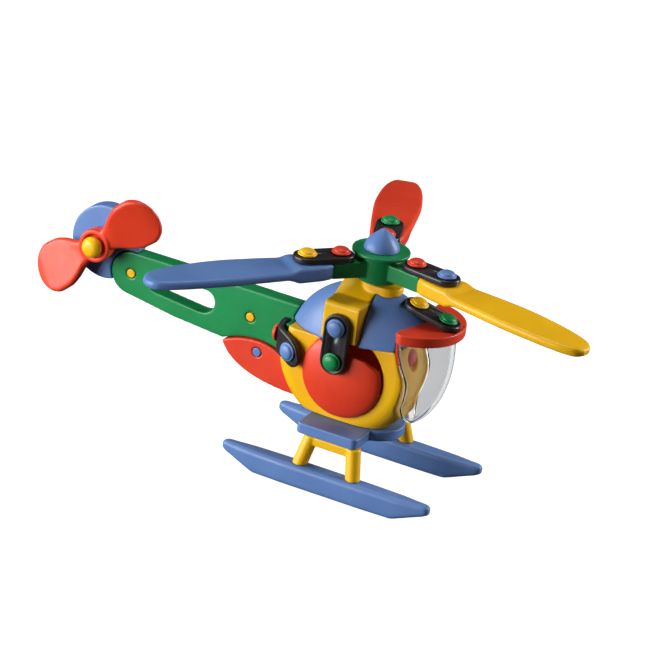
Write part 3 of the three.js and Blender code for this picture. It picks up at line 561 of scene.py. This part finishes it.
def rounded_section(half, low, high, radius, steps=5):
    """The points of an upright rectangle with round corners, in U and V."""
    r = min(radius, half * 0.7, (high - low) * 0.46)
    side, low, high = half - r, low + r, high - r
    corners = [(side, low, -0.5), (side, high, 0), (-side, high, 0.5), (-side, low, 1)]
    points = []
    for u, v, turn in corners:
        points += arc(u, v, r, turn * math.pi, (turn + 0.5) * math.pi, steps)
    return points


def skid(side):
    """A float with a flat top, an underside that rises to both ends, and narrowing ends."""
    rings = []
    for x in evenly(-SKID_HALF, SKID_HALF, 84):
        sweep = min(1, max(0, abs(x) - SKID_FLAT) / (SKID_TIP - SKID_FLAT))
        end = max(0, abs(x) - SKID_HALF + SKID_ROUND) / SKID_ROUND
        half = along(SKID_WIDTHS, abs(x) / SKID_TIP) * math.sqrt(1 - 0.6 * end**2)
        low, high = SKID_LOW + SKID_RISE * sweep + end * 0.7, SKID_HIGH - end * 0.7
        rings.append([(x, side * SKID_Y + u, v) for u, v in rounded_section(half, low, high, 2.2)])
    return mould(loft(rings), 0.5, 5)


def leg_frame(side):
    """Two splayed legs under a short bar."""
    y = side * LEG_Y
    bar = box(-LEG_X, LEG_X, y - BAR_HALF, y + BAR_HALF, BAR_LOW, BAR_HIGH)
    legs = []
    for end in (-1, 1):
        top = Vector((end * LEG_X, y, BAR_HIGH))
        foot = Vector((end * FOOT_X, side * SKID_Y, FOOT_Z))
        line = foot - top
        legs.append(rod(top, line.normalized(), line.length + 3, LEG_RADIUS))
    return mould(common(join(bar, *legs), box(-FAR, FAR, -FAR, FAR, FOOT_Z, BAR_HIGH)), 0.4, 8)


def base_plate():
    """A plate across both leg frames, with a round nose ahead."""
    rear, front, half, corner, nose_x, nose = -17.5, 12.5, 25.0, 2.5, 8, 14
    turn = math.asin(math.sqrt(nose**2 - (front - nose_x) ** 2) / nose)
    quarter = math.pi / 2
    outline = arc(rear + corner, -half, corner, 2 * quarter, 3 * quarter, 10)
    outline += arc(front - corner, -half, corner, 3 * quarter, 4 * quarter, 10)
    outline += arc(nose_x, 0, nose, -turn, turn, 48)
    outline += arc(front - corner, half, corner, 0, quarter, 10)
    outline += arc(rear + corner, half, corner, quarter, 2 * quarter, 10)
    return mould(prism(outline, PLATE_LOW, PLATE_HIGH), 0.45, 10)


for side, sign in SIDES:
    piece("skid_" + side, skid(sign), "blue_plastic")
    piece("leg_frame_" + side, leg_frame(sign), "yellow_plastic")
piece("base_plate", base_plate(), "blue_plastic")

# ---------------------------------------------------------------- cabin

# The body's wavy front edge from the roof down, in X and Z.
FRONT_LINE = [(19.3, 78), (19.5, 70), (21.6, 63), (24.4, 55), (23.6, 47), (22.2, 41.5), (23.2, 36)]
FRONT_LINE = spline(FRONT_LINE + [(26.5, 31), (29, 24)])
ROOF_LOW, ROOF_BEND, ROOF_SLOPE = 66, -12, 0.105  # the underside is level behind the bend
ROOF_RADII = (38, 19.1, 35.7)
# The bowl of the canopy: its middle, its radii ahead, to a side, up and down, and its wall.
BOWL_X, BOWL_Z, BOWL_AHEAD, BOWL_SIDE, BOWL_UP, BOWL_DOWN, BOWL_WALL = 19, 66, 22, 15, 40, 35.6, 1.8
PEAK_X, PEAK_RADIUS, PEAK_END = 20, 23.4, 3  # the visor's round edge and its rounded ends


def beside_front(offset, side_x):
    """Everything between the body's front edge and an upright plane behind or ahead of it."""
    line = [(x + offset, z) for x, z in FRONT_LINE]
    return prism(line + [(side_x, line[-1][1]), (side_x, line[0][1])], -FAR, FAR, "y")


def barrel(extra=0):
    """A drum lying across the cabin, with round shoulders."""
    flat, shoulder_height, shoulder_width = 26 + extra, 8.5, 9
    shoulder = []
    for t in evenly(0, math.pi / 2, 16):
        y = BARREL_HALF - shoulder_width * (1 - math.cos(t))
        shoulder.append((flat + shoulder_height * math.sin(t), y))
    profile = [(0, -BARREL_HALF)] + [(r, -y) for r, y in shoulder] + shoulder[::-1] + [(0, BARREL_HALF)]
    return aim(lathe(profile, 160), LEFT, (BARREL_X, 0, BARREL_Z))


def under_roof(gap):
    """Everything below the roof's underside, level at the rear and rising towards the nose."""
    base = ROOF_LOW - gap
    nose = base + ROOF_SLOPE * (FAR - ROOF_BEND)
    return prism([(-FAR, base), (ROOF_BEND, base), (FAR, nose), (FAR, 0), (-FAR, 0)], -FAR, FAR, "y")


def roof_ball(extra, segments=128):
    """The round form that the roof is cut from, grown or shrunk a little."""
    half = [(math.sin(t), -math.cos(t)) for t in evenly(0, math.pi, segments // 2)]
    half[0], half[-1] = (0, -1), (0, 1)
    scale = Matrix.Diagonal([r + extra for r in ROOF_RADII] + [1])
    return move(lathe(half, segments), Matrix.Translation((0, 0, BARREL_Z)) @ scale)


def roof_room(extra):
    return cut(roof_ball(extra), under_roof(extra))


def visor_strap_room():
    """The room above the roof and the visor that their strap needs."""
    width = STRAP_RADIUS + FIT
    reach = VISOR_PITCH / 2 + width
    slab = box(-reach, reach, -width, width, -SEAT, 20)
    turn = Matrix((VISOR_ALONG, LEFT, VISOR_OUT)).transposed().to_4x4()
    return move(slab, Matrix.Translation(VISOR_MIDDLE) @ turn)


def cabin_body():
    """The drum with a flat underside, a round window, a gap ahead of it and a flat for the flange."""
    shape = common(common(barrel(), under_roof(FIT)), beside_front(0, -FAR))
    seat, out = BUTTONS["canopy_button"][1:3]
    floor = box(-FAR, FAR, -FAR, FAR, 0, PLATE_HIGH + 0.2)
    window = rod((WINDOW_X, -FAR, WINDOW_Z), LEFT, 2 * FAR, SHELL_RADIUS - 0.4, 128)
    gap = rod((WINDOW_X + 0.7, -FAR, WINDOW_Z + 0.5), LEFT, 2 * FAR, SHELL_RADIUS, 128)
    flat = box(-FAR, FLANGE_FRONT + FIT, -13.6, 13.6, 50, FAR)
    head_room = rod(seat, out, 10, 5.1, 48)
    shanks = holes("body_button_right", "body_button_left", "canopy_button")
    return mould(cut(shape, floor, window, gap, flat, head_room, *shanks), 0.45, 7)


def side_shell():
    """A shallow dome over the round window, cut along the top by a line that slopes forwards."""
    wall, edge, bulge = 2.2, 1.2, 4.4
    hollow = edge + bulge - wall
    outer = [(SHELL_RADIUS * math.sin(t), edge + bulge * math.cos(t)) for t in evenly(math.pi / 2, 0, 32)]
    inner = [((SHELL_RADIUS - wall) * math.sin(t), hollow * math.cos(t)) for t in evenly(0, math.pi / 2, 20)]
    inner[0], outer[-1] = (0, hollow), (0, edge + bulge)
    profile = inner + [(SHELL_RADIUS, 0)] + outer
    dome = aim(lathe(profile, 160), LEFT, (WINDOW_X, BARREL_HALF + SEAT, WINDOW_Z))
    post = rod((SIDE_X, BARREL_HALF + 0.5, SIDE_Z[1]), LEFT, 4.2, 4.6)
    trim = [(-40, 69.4), (7.4, 62), (15.4, 57), (40, 40), (40, 90), (-40, 90)]
    return mould(cut(join(dome, post), prism(trim, 0, FAR, "y"), *holes("shell_button_left")), 0.35, 6)


# The bracket's yoke over the roof, in X, and how deep it is let into the roof.
YOKE_REAR, YOKE_FRONT, YOKE_DEPTH = -14.4, 2.7, 1.5


def roof():
    """The dome with a shallow band for the bracket and a step for the visor."""
    ahead = box(ROOF_FRONT, FAR, -FAR, FAR, 0, VISOR_LOW)
    band = cut(box(YOKE_REAR - FIT, YOKE_FRONT + FIT, -FAR, FAR, 60, 120), roof_ball(-YOKE_DEPTH - FIT))
    bore = rod((0, 0, 84), UP, 20, SHANK + FIT)
    return mould(cut(roof_room(0), ahead, band, bore, visor_strap_room(), *holes("roof_button")), 0.4, 8)


def rotor_bracket():
    """An inverted U over the roof, with a shelf on each shoulder and a nose that bears the rotor."""
    outline = [(-20.5, 69.2), (20.5, 69.2)] + arc(18.5, 84.5, 2, 0, math.pi / 2, 10)
    outline += bezier((10.5, 87.1), (5, 91.3), (0, 92.5), count=16)
    outline += bezier((0, 92.5), (-5, 91.3), (-10.5, 87.1), count=16)
    outline += arc(-18.5, 84.5, 2, math.pi / 2, math.pi, 10)
    yoke = cut(prism(outline, YOKE_REAR, YOKE_FRONT, "x"), roof_ball(-YOKE_DEPTH))
    nose = arc(6, 0, 6.7, -math.pi / 2, math.pi / 2) + arc(0.7, 0, 6.7, math.pi / 2, 1.5 * math.pi)
    bearing = cut(join(prism(nose, 84, 93.5), rod((0, 0, 92.5), UP, 2.4, 4.6)), roof_ball(FIT))
    bore = rod((0, 0, 80), UP, 30, SHANK + FIT)
    whole = cut(join(yoke, bearing), bore, *holes("bracket_button_right", "bracket_button_left"))
    return mould(whole, 0.4, 9)


def peak():
    """The visor's outline: a round peak with rounded ends and a hollowed back."""
    end, turn = math.radians(77), math.radians(130)
    reach = PEAK_RADIUS - PEAK_END
    tip_x, tip_y = PEAK_X + reach * math.cos(end), reach * math.sin(end)
    back_x, back_y = tip_x + PEAK_END * math.cos(end + turn), tip_y + PEAK_END * math.sin(end + turn)
    outline = arc(PEAK_X, 0, PEAK_RADIUS, -end, end, 96)
    outline += arc(tip_x, tip_y, PEAK_END, end, end + turn, 20)
    outline += bezier((back_x, back_y), (back_x + 0.4, 13), (26.3, 8), (26.3, 0), count=24)
    outline += bezier((26.3, 0), (26.3, -8), (back_x + 0.4, -13), (back_x, -back_y), count=24)
    return outline + arc(tip_x, -tip_y, PEAK_END, -end - turn, -end, 20)


def visor():
    """The peak, a strip that closes it against the roof, and two legs down the body's front edge."""
    rear = ROOF_FRONT + SEAT
    legs = [box(rear - 6, 40, s * 12.8 - 1.6, s * 12.8 + 1.6, 63.4, 78.2) for s in (-1, 1)]
    legs = common(join(*legs), beside_front(1.3, -FAR))
    strip = box(rear, rear + 4.6, -16.5, 16.5, VISOR_LOW, 79.6)
    shape = join(prism(peak(), VISOR_LOW, VISOR_HIGH), strip, legs)
    above = common(roof_ball(FIT), box(-FAR, FAR, -FAR, FAR, 77, 120))
    behind = box(-FAR, rear, -FAR, FAR, 0, 120)
    body_face = common(beside_front(SEAT + 0.05, -FAR), under_roof(0))
    return mould(cut(shape, above, behind, body_face, visor_strap_room(), *holes("visor_button")), 0.35, 8)


def canopy():
    """A clear egg-shaped bowl, open at the top and behind a thick rounded rim."""
    heights = [z for _, z in FRONT_LINE]

    def rim_x(level):
        """The rim's place, a little ahead of the body's front edge."""
        i = next((k for k, z in enumerate(heights) if z <= level), len(heights) - 1)
        (x0, z0), (x1, z1) = FRONT_LINE[max(i - 1, 0)], FRONT_LINE[max(i, 1)]
        return x0 + (x1 - x0) * (level - z0) / (z1 - z0) + 1.6

    def section(level, inset):
        """The bowl's two radii at a level."""
        reach = (BOWL_UP if level > BOWL_Z else BOWL_DOWN) - inset
        share = math.sqrt(max(1e-6, 1 - ((level - BOWL_Z) / reach) ** 2))
        return (BOWL_AHEAD - inset) * share, (BOWL_SIDE - inset) * share

    def ring(level):
        """The wall at a level: round the outside, over one lip, back inside and over the other."""
        back = rim_x(level)
        a, b = section(level, 0)
        turn = math.acos(min(0.9999, (back - BOWL_X) / a))
        outer = [(BOWL_X + a * math.cos(t), b * math.sin(t)) for t in evenly(-turn, turn, 56)]
        near = outer[-1][1]
        c, d = section(level, BOWL_WALL)
        far = math.acos(min(1, (back - BOWL_X) / c))
        inner = []
        for t in evenly(far, -far, 56):
            thicker = 1 - 0.07 * max(0, abs(t) - far + 0.2) / 0.2 if far > 0.2 else 1
            inner.append((max(back, BOWL_X + c * math.cos(t)), d * math.sin(t) * thicker))
        gap = near - inner[0][1]
        lip = []
        for t in evenly(0.5, 2.64, 6):
            lip.append((back - 0.3 * math.sin(t), near - gap * (0.5 - 0.5 * math.cos(t))))
        points = outer + lip + inner + [(x, -y) for x, y in lip[::-1]]
        return [(x, y, level) for x, y in points]

    lowest = next(z for z in evenly(31, 40, 400) if BOWL_X + section(z, 0)[0] > rim_x(z) + 0.12)
    levels = [lowest + (77.0 - lowest) * t**1.6 for t in evenly(0, 1, 90)]
    return loft([ring(z) for z in levels])


piece("cabin_body", cabin_body(), "yellow_plastic")
shell = side_shell()
piece("side_shell_right", mirrored(shell), "red_plastic")
piece("side_shell_left", shell, "red_plastic")
piece("roof_dome", roof(), "blue_plastic")
piece("rotor_bracket", rotor_bracket(), "yellow_plastic")
piece("visor", visor(), "red_plastic")
piece("canopy", canopy(), "clear_plastic")

# ---------------------------------------------------------------- tail


# The fin's disc, its middle in X and Z.
FIN, FIN_RADIUS, FIN_WIDTH = (-134.8, 73.2), 17.5, 7.6
# The tail rotor, from its axle's middle: a hub from one Y to another, and a pitch in degrees.
HUB_RIGHT, HUB_WIDTH, HUB_RADIUS, LOBE_Y = -14.8, 6.6, 7.8, -11.5
LOBE_TIP, LOBE_ANGLE, LOBE_PITCH = 36.2, 39.7, -17


def tail_boom():
    """A flat plate with a long slot, and a flange across its front end."""
    outline = [(FLANGE_FRONT, BOOM_TOP)]
    outline += arc(*TAIL_PIN, TAIL_RADIUS, math.pi / 2, 1.42 * math.pi, 40)
    outline += [(-96, 47.9)] + bezier((-70.2, 45.6), (-63, 48.8), (-58, 50.1), (-51.6, 50.1))
    outline += bezier((-51.6, 50.1), (-46.5, 50.1), (-42, 48.6), (-39, 46.6)) + [(FLANGE_FRONT, 46.6)]
    slot = bezier((-106, 65.4), (-112, 65.4), (-112, 57.4), (-106, 56.7), count=24)
    slot += bezier((-83.4, 54.3), (-74, 53.8), (-74, 65.4), (-81.5, 65.4), count=24)
    flange = box(FLANGE_REAR, FLANGE_FRONT, -11.4, 11.4, 50.6, 65.4)
    plate = join(prism(outline, -BOOM_HALF, BOOM_HALF, "y"), flange)
    recess = common(barrel(FIT), box(-FAR, FAR, -FAR, FAR, 0, 50.3))
    pins = holes("boom_button_front", "boom_button_rear", "flange_button_right", "flange_button_left")
    return mould(cut(plate, prism(slot, -FAR, FAR, "y"), recess, roof_room(FIT), *pins), 0.42, 8)


def belly_fairing():
    """A thicker plate under the boom that follows the boom's wavy underside."""
    outline = bezier((-69.6, 45.2), (-63, 48.3), (-58, 49.7), (-51.6, 49.7))
    outline += bezier((-51.6, 49.7), (-46.5, 49.7), (-42, 48.2), (-38.4, 45.9))
    outline += [(-20, 45.9), (-20, 29.6)]
    outline += bezier((-34, 30), (-50, 31), (-64, 34.5), (-69.6, 45.2), count=32)
    return mould(cut(prism(outline, -5.5, BOOM_HALF, "y"), barrel(FIT), *holes("fairing_button")), 0.42, 9)


def across(pin, radius, segments=72):
    """A rod right across the toy, through a point in X and Z."""
    return rod((pin[0], -FAR, pin[1]), LEFT, 2 * FAR, radius, segments)


def tail_fin():
    """A disc with a bite that leaves room for the boom's round end."""
    disc = rod((FIN[0], -BOOM_HALF, FIN[1]), LEFT, FIN_WIDTH, FIN_RADIUS, 128)
    bite = across(TAIL_PIN, TAIL_RADIUS + 0.5, 96)
    over_boom = box(TAIL_PIN[0] - 1, 0, -FAR, FAR, 0, BOOM_TOP + 0.5)
    return mould(cut(disc, bite, over_boom, across(AXLE, SHANK + FIT)), 0.42, 9)


def paddle():
    """One lobe of the tail rotor, along +X, with a pitch that grows out of the hub."""
    half = [[0, 4], [9, 6], [15.7, 9.9], [21.3, 11.8], [26.9, 12], [31.4, 10.2], [34.7, 6.4], [LOBE_TIP, 2.6]]
    thick = [[0, 3], [18, 2.2], [31.4, 1.7], [LOBE_TIP, 0.8]]
    rings = []
    for s in evenly(2, LOBE_TIP, 48):
        pitch = math.radians(LOBE_PITCH) * min(1, s / 13.4)
        w, t = along(half, s), along(thick, s)
        section = rounded_section(w, -t, t, t * 0.9, 6)
        sine, cosine = math.sin(pitch), math.cos(pitch)
        rings.append([(s, u * sine + v * cosine, u * cosine - v * sine) for u, v in section])
    return loft(rings)


def tail_rotor():
    """Two lobes on a short hub, which is hollowed for the knob."""
    hub = rod((0, HUB_RIGHT, 0), LEFT, HUB_WIDTH, HUB_RADIUS, 96)
    lobes = []
    for turn in (0, 180):
        spin = Matrix.Rotation(math.radians(-LOBE_ANGLE - turn), 4, "Y")
        lobes.append(move(paddle(), Matrix.Translation((0, LOBE_Y, 0)) @ spin))
    recess = rod((0, HUB_RIGHT - 1, 0), LEFT, 3.4, 5.6)
    whole = cut(join(hub, *lobes), recess, across((0, 0), SHANK + FIT))
    return move(mould(whole, 0.38, 9), Matrix.Translation((AXLE[0], 0, AXLE[1])))


def tail_axle():
    """A knob on a shank that runs through the rotor and the fin and just past the strap."""
    seat = HUB_RIGHT - 2.7
    fin_left = FIN_WIDTH - BOOM_HALF
    end = fin_left + STRAP_TOP + 0.6 - seat - 0.9
    knob = spline([(0.01, -2), (2.6, -1.6), (4.2, -0.5), (4.9, 1), (4.6, 2.4), (3.4, 3.1)], 8)
    profile = [(0, -2)] + knob[1:] + soften([(SHANK, 3.1), (SHANK, end), (0, end)], 0.5)
    return aim(lathe(profile, 72), LEFT, (AXLE[0], seat, AXLE[1]))


piece("tail_boom", tail_boom(), "green_plastic")
piece("belly_fairing", belly_fairing(), "red_plastic")
piece("tail_fin", tail_fin(), "blue_plastic")
piece("tail_rotor", tail_rotor(), "red_plastic")
piece("tail_rotor_axle", tail_axle(), "yellow_plastic")

# ---------------------------------------------------------------- main rotor


def about_axis(obj, azimuth):
    return move(obj, Matrix.Rotation(math.radians(azimuth), 4, "Z"))


# The hub's drum, its brim, its arms, and where a blade's root meets its arm.
DRUM_LOW, BRIM_LOW, BRIM_TOP, DRUM_RADIUS, BRIM_RADIUS = 95, 106.9, 108.5, 10, 13
ARM_HALF, ARM_END, ROOT, TIP, CAP_LOW = 5.4, 24.7, 25, 110.5, 108.6


def rotor_hub():
    """A drum with a thin brim and three arms, with room cut for the straps and the pins."""
    drum = rod((0, 0, DRUM_LOW), UP, BRIM_TOP - 1.1 - DRUM_LOW, DRUM_RADIUS, 96)
    parts = [rod((0, 0, BRIM_LOW), UP, BRIM_TOP - BRIM_LOW, BRIM_RADIUS, 128)]
    tools = [rod((0, 0, DRUM_LOW - 5), UP, 40, SHANK + FIT)]
    for colour, (_, azimuth, _) in BLADES.items():
        parts.append(about_axis(box(0, ARM_END, -ARM_HALF, ARM_HALF, ARM_LOW, ARM_TOP), azimuth))
        strap_room = box(BLADE_INNER - 6.5, FAR, -6.5, 6.5, ARM_TOP, BRIM_TOP + 4)
        tools.append(about_axis(strap_room, azimuth))
        tools += holes("hub_button_" + colour)
    return mould(cut(join(drum, *parts), *tools), 0.35, 7)


def blade():
    """A blade along +X: a thick root under the strap, then a flat paddle that droops a little."""
    half = [[ROOT, 6.2], [30, 7.8], [36, 8.5], [43.4, 9.2], [56, 10.1], [74, 10.9], [88, 10.2]]
    half += [[99, 8.8], [106, 6.8], [109, 4.8], [TIP, 2.2]]
    top = [[41.4, ARM_TOP], [46.4, 103.4], [107.5, 103.4], [TIP, 102.6]]
    bottom = [[41.4, ARM_LOW], [47.4, 99.2], [107.5, 99.2], [TIP, 100]]
    flat_from, droop = 43.4, 2.5
    rings = []
    for x in evenly(ROOT, 106, 92) + evenly(106.4, TIP, 12):
        sag = droop * (max(0, x - flat_from) / (TIP - flat_from)) ** 2
        section = rounded_section(along(half, x), along(bottom, x) - sag, along(top, x) - sag, 1.7, 6)
        rings.append([(x, u, v) for u, v in section])
    return loft(rings)


def rotor_cap():
    """A pointed cap over the hub, with the pin that the rotor turns about."""
    side = [(8 * math.cos(t * math.pi / 2) ** 0.85, 9.8 * t) for t in evenly(0, 0.985, 40)]
    profile = soften([(0, -23.6), (SHANK, -23.6), (SHANK, 0), (7.7, 0)], 0.5) + [(7.95, 0.12)]
    return move(lathe(profile + side[1:] + [(0, 9.75)], 96), Matrix.Translation((0, 0, CAP_LOW)))


piece("rotor_hub", rotor_hub(), "green_plastic")
piece("rotor_cap", rotor_cap(), "blue_plastic")
for colour, (slot, azimuth, _) in BLADES.items():
    spoke = spoke_of(azimuth)
    shape = cut(about_axis(blade(), azimuth), *holes("blade_button_" + colour))
    piece("blade_" + colour, mould(shape, 0.4, 6), slot)
    middle = spoke * (BLADE_INNER + BLADE_OUTER) / 2 + Vector((0, 0, ARM_TOP + SEAT))
    piece("blade_strap_" + colour, strap(middle, spoke, UP), "black_rubber")

# ---------------------------------------------------------------- straps and buttons

for side, sign in SIDES:
    middle = Vector((SIDE_X, sign * (SIDE_Y + SEAT), sum(SIDE_Z) / 2))
    piece("side_strap_" + side, strap(middle, UP, (0, sign, 0)), "black_rubber")
piece("visor_strap", strap(VISOR_MIDDLE, VISOR_ALONG, VISOR_OUT, VISOR_PITCH), "black_rubber")


def boom_strap(a, b):
    """A strap on the boom's left face, from one pin to another in X and Z."""
    first, second = Vector((a[0], 0, a[1])), Vector((b[0], 0, b[1]))
    middle = (first + second) / 2 + LEFT * (BOOM_HALF + SEAT)
    line = second - first
    return strap(middle, line.normalized(), LEFT, line.length)


piece("fairing_strap", boom_strap(BOOM_PIN, FAIRING_PIN), "black_rubber")
piece("tail_strap", boom_strap(TAIL_PIN, AXLE), "black_rubber")


def corner_strap():
    """A strap bent round the corner from the boom's flange to the body's side."""
    inner, bend = FLANGE_REAR - SEAT, 2.4
    angle = math.pi / 2 - TURN
    heading = (math.sin(angle), math.cos(angle))
    back = (BODY_PIN.x - inner) / heading[0]
    first_arm = BODY_PIN.y - heading[1] * back - FLANGE_PIN.y
    length = first_arm + back
    slope = (BODY_PIN.z - FLANGE_PIN.z) / length
    ends = [STRAP_RADIUS * math.sin(t) for t in evenly(math.pi / 2, 0.1, 14)]
    spans = [-e for e in ends] + evenly(0, length, 36) + [length + e for e in ends[::-1]]
    rings = []
    for u in spans:
        over = -u if u < 0 else max(0, u - length)
        half = max(0.6, math.sqrt(max(0, STRAP_RADIUS**2 - over**2)))
        t = min(1, max(0, (u - first_arm + bend) / (2 * bend)))
        direction, soft = angle * t, bend * t * t
        past = u > first_arm + bend
        x = inner + heading[0] * (u - first_arm if past else soft)
        y = FLANGE_PIN.y
        y += first_arm + heading[1] * (u - first_arm) if past else u - soft * (1 - heading[1])
        out_x, out_y = -math.cos(direction), math.sin(direction)
        ring = []
        for w, h in rounded_section(half, 0.1, 2.8, 0.7, 5):
            ring.append((x + out_x * h, y + out_y * h, FLANGE_PIN.z + slope * u + w))
        rings.append(ring)
    return mould(cut(loft(rings), *holes("flange_button_left", "body_button_left")), 0.3, 6)


bent = corner_strap()
piece("corner_strap_right", mirrored(bent), "black_rubber")
piece("corner_strap_left", bent, "black_rubber")

for name, (slot, seat, out, grip) in BUTTONS.items():
    button(name, slot, Vector(seat), Vector(out), grip)

# ---------------------------------------------------------------- room, light and camera


def floor_material():
    """A matt floor that glows an even white, as paper does on a light table."""
    material = bpy.data.materials.new("pale_floor")
    material.use_nodes = True
    tree = material.node_tree
    shader = tree.nodes["Principled BSDF"]
    place = node(tree, "ShaderNodeTexCoord").outputs["Object"]
    tone = blend(tree, noise(tree, place, 6, 3), srgb(120, 120, 120), srgb(130, 130, 130))
    tree.links.new(tone, shader.inputs["Base Color"])
    shader.inputs["Roughness"].default_value = 0.9
    shader.inputs["Emission Color"].default_value = (1, 1, 1, 1)
    shader.inputs["Emission Strength"].default_value = 1
    return material


FLOOR_REACH = 4  # metres
corners = [(-FLOOR_REACH, -FLOOR_REACH), (FLOOR_REACH, -FLOOR_REACH)]
corners += [(FLOOR_REACH, FLOOR_REACH), (-FLOOR_REACH, FLOOR_REACH)]
mesh = bpy.data.meshes.new("floor")
mesh.from_pydata([(x, y, 0) for x, y in corners], [], [(0, 1, 2, 3)])
floor = bpy.data.objects.new("floor", mesh)
floor.location.z = floor_level - 0.0002
floor.data.materials.append(floor_material())
floor.visible_diffuse = False
floor.visible_glossy = False
bpy.context.scene.collection.objects.link(floor)

# The camera looks from the right, a little ahead and above, with a small roll.
azimuth, elevation, roll = (math.radians(v) for v in (24.42, 23.02, 7.57))
level_back = Vector((math.sin(azimuth), -math.cos(azimuth), 0))
BACK = level_back * math.cos(elevation) + UP * math.sin(elevation)
level_right = Vector((math.cos(azimuth), math.sin(azimuth), 0))
level_up = BACK.cross(level_right)
SIDEWAYS = level_right * math.cos(roll) + level_up * math.sin(roll)
UPWARDS = level_up * math.cos(roll) - level_right * math.sin(roll)
DISTANCE, SHIFT_LEFT, SHIFT_UP = 1600.3, 19.53, 6.33
eye = Vector((0, 0, MIDDLE_Z)) + BACK * DISTANCE + UPWARDS * SHIFT_UP - SIDEWAYS * SHIFT_LEFT

camera = bpy.data.objects.new("camera", bpy.data.cameras.new("camera"))
camera.data.sensor_width = 36
camera.data.lens = 200.05
camera.data.clip_start = 0.05
placing = Matrix((SIDEWAYS, UPWARDS, BACK)).transposed().to_4x4()
placing.translation = TO_FRAME @ eye
camera.matrix_world = placing
bpy.context.scene.collection.objects.link(camera)
bpy.context.scene.camera = camera

world = bpy.data.worlds.new("studio")
world.use_nodes = True
backdrop = world.node_tree.nodes["Background"]
backdrop.inputs["Color"].default_value = (1, 1, 1, 1)
backdrop.inputs["Strength"].default_value = 0.05
bpy.context.scene.world = world
bpy.context.scene.view_settings.view_transform = "Standard"


def softbox(name, direction, distance, width, height, power):
    """A rectangular lamp that faces the toy's middle from a direction, in metres and watts."""
    lamp = bpy.data.lights.new(name, "AREA")
    lamp.shape = "RECTANGLE"
    lamp.size, lamp.size_y = width, height
    lamp.energy = power
    obj = bpy.data.objects.new(name, lamp)
    direction = Vector(direction).normalized()
    middle = TO_FRAME @ Vector((0, 0, MIDDLE_Z))
    turn = direction.to_track_quat("Z", "Y").to_matrix().to_4x4()
    obj.matrix_world = Matrix.Translation(middle + direction * distance) @ turn
    bpy.context.scene.collection.objects.link(obj)


softbox("key", (-0.86, -0.79, 0.16), 0.9, 0.9, 0.5, 15.2)
softbox("edge", SIDEWAYS + UPWARDS * 0.3 - BACK * 0.1, 0.8, 0.14, 0.6, 7)
softbox("top", (-0.15, 0.1, 1), 1.0, 0.3, 0.3, 2.8)
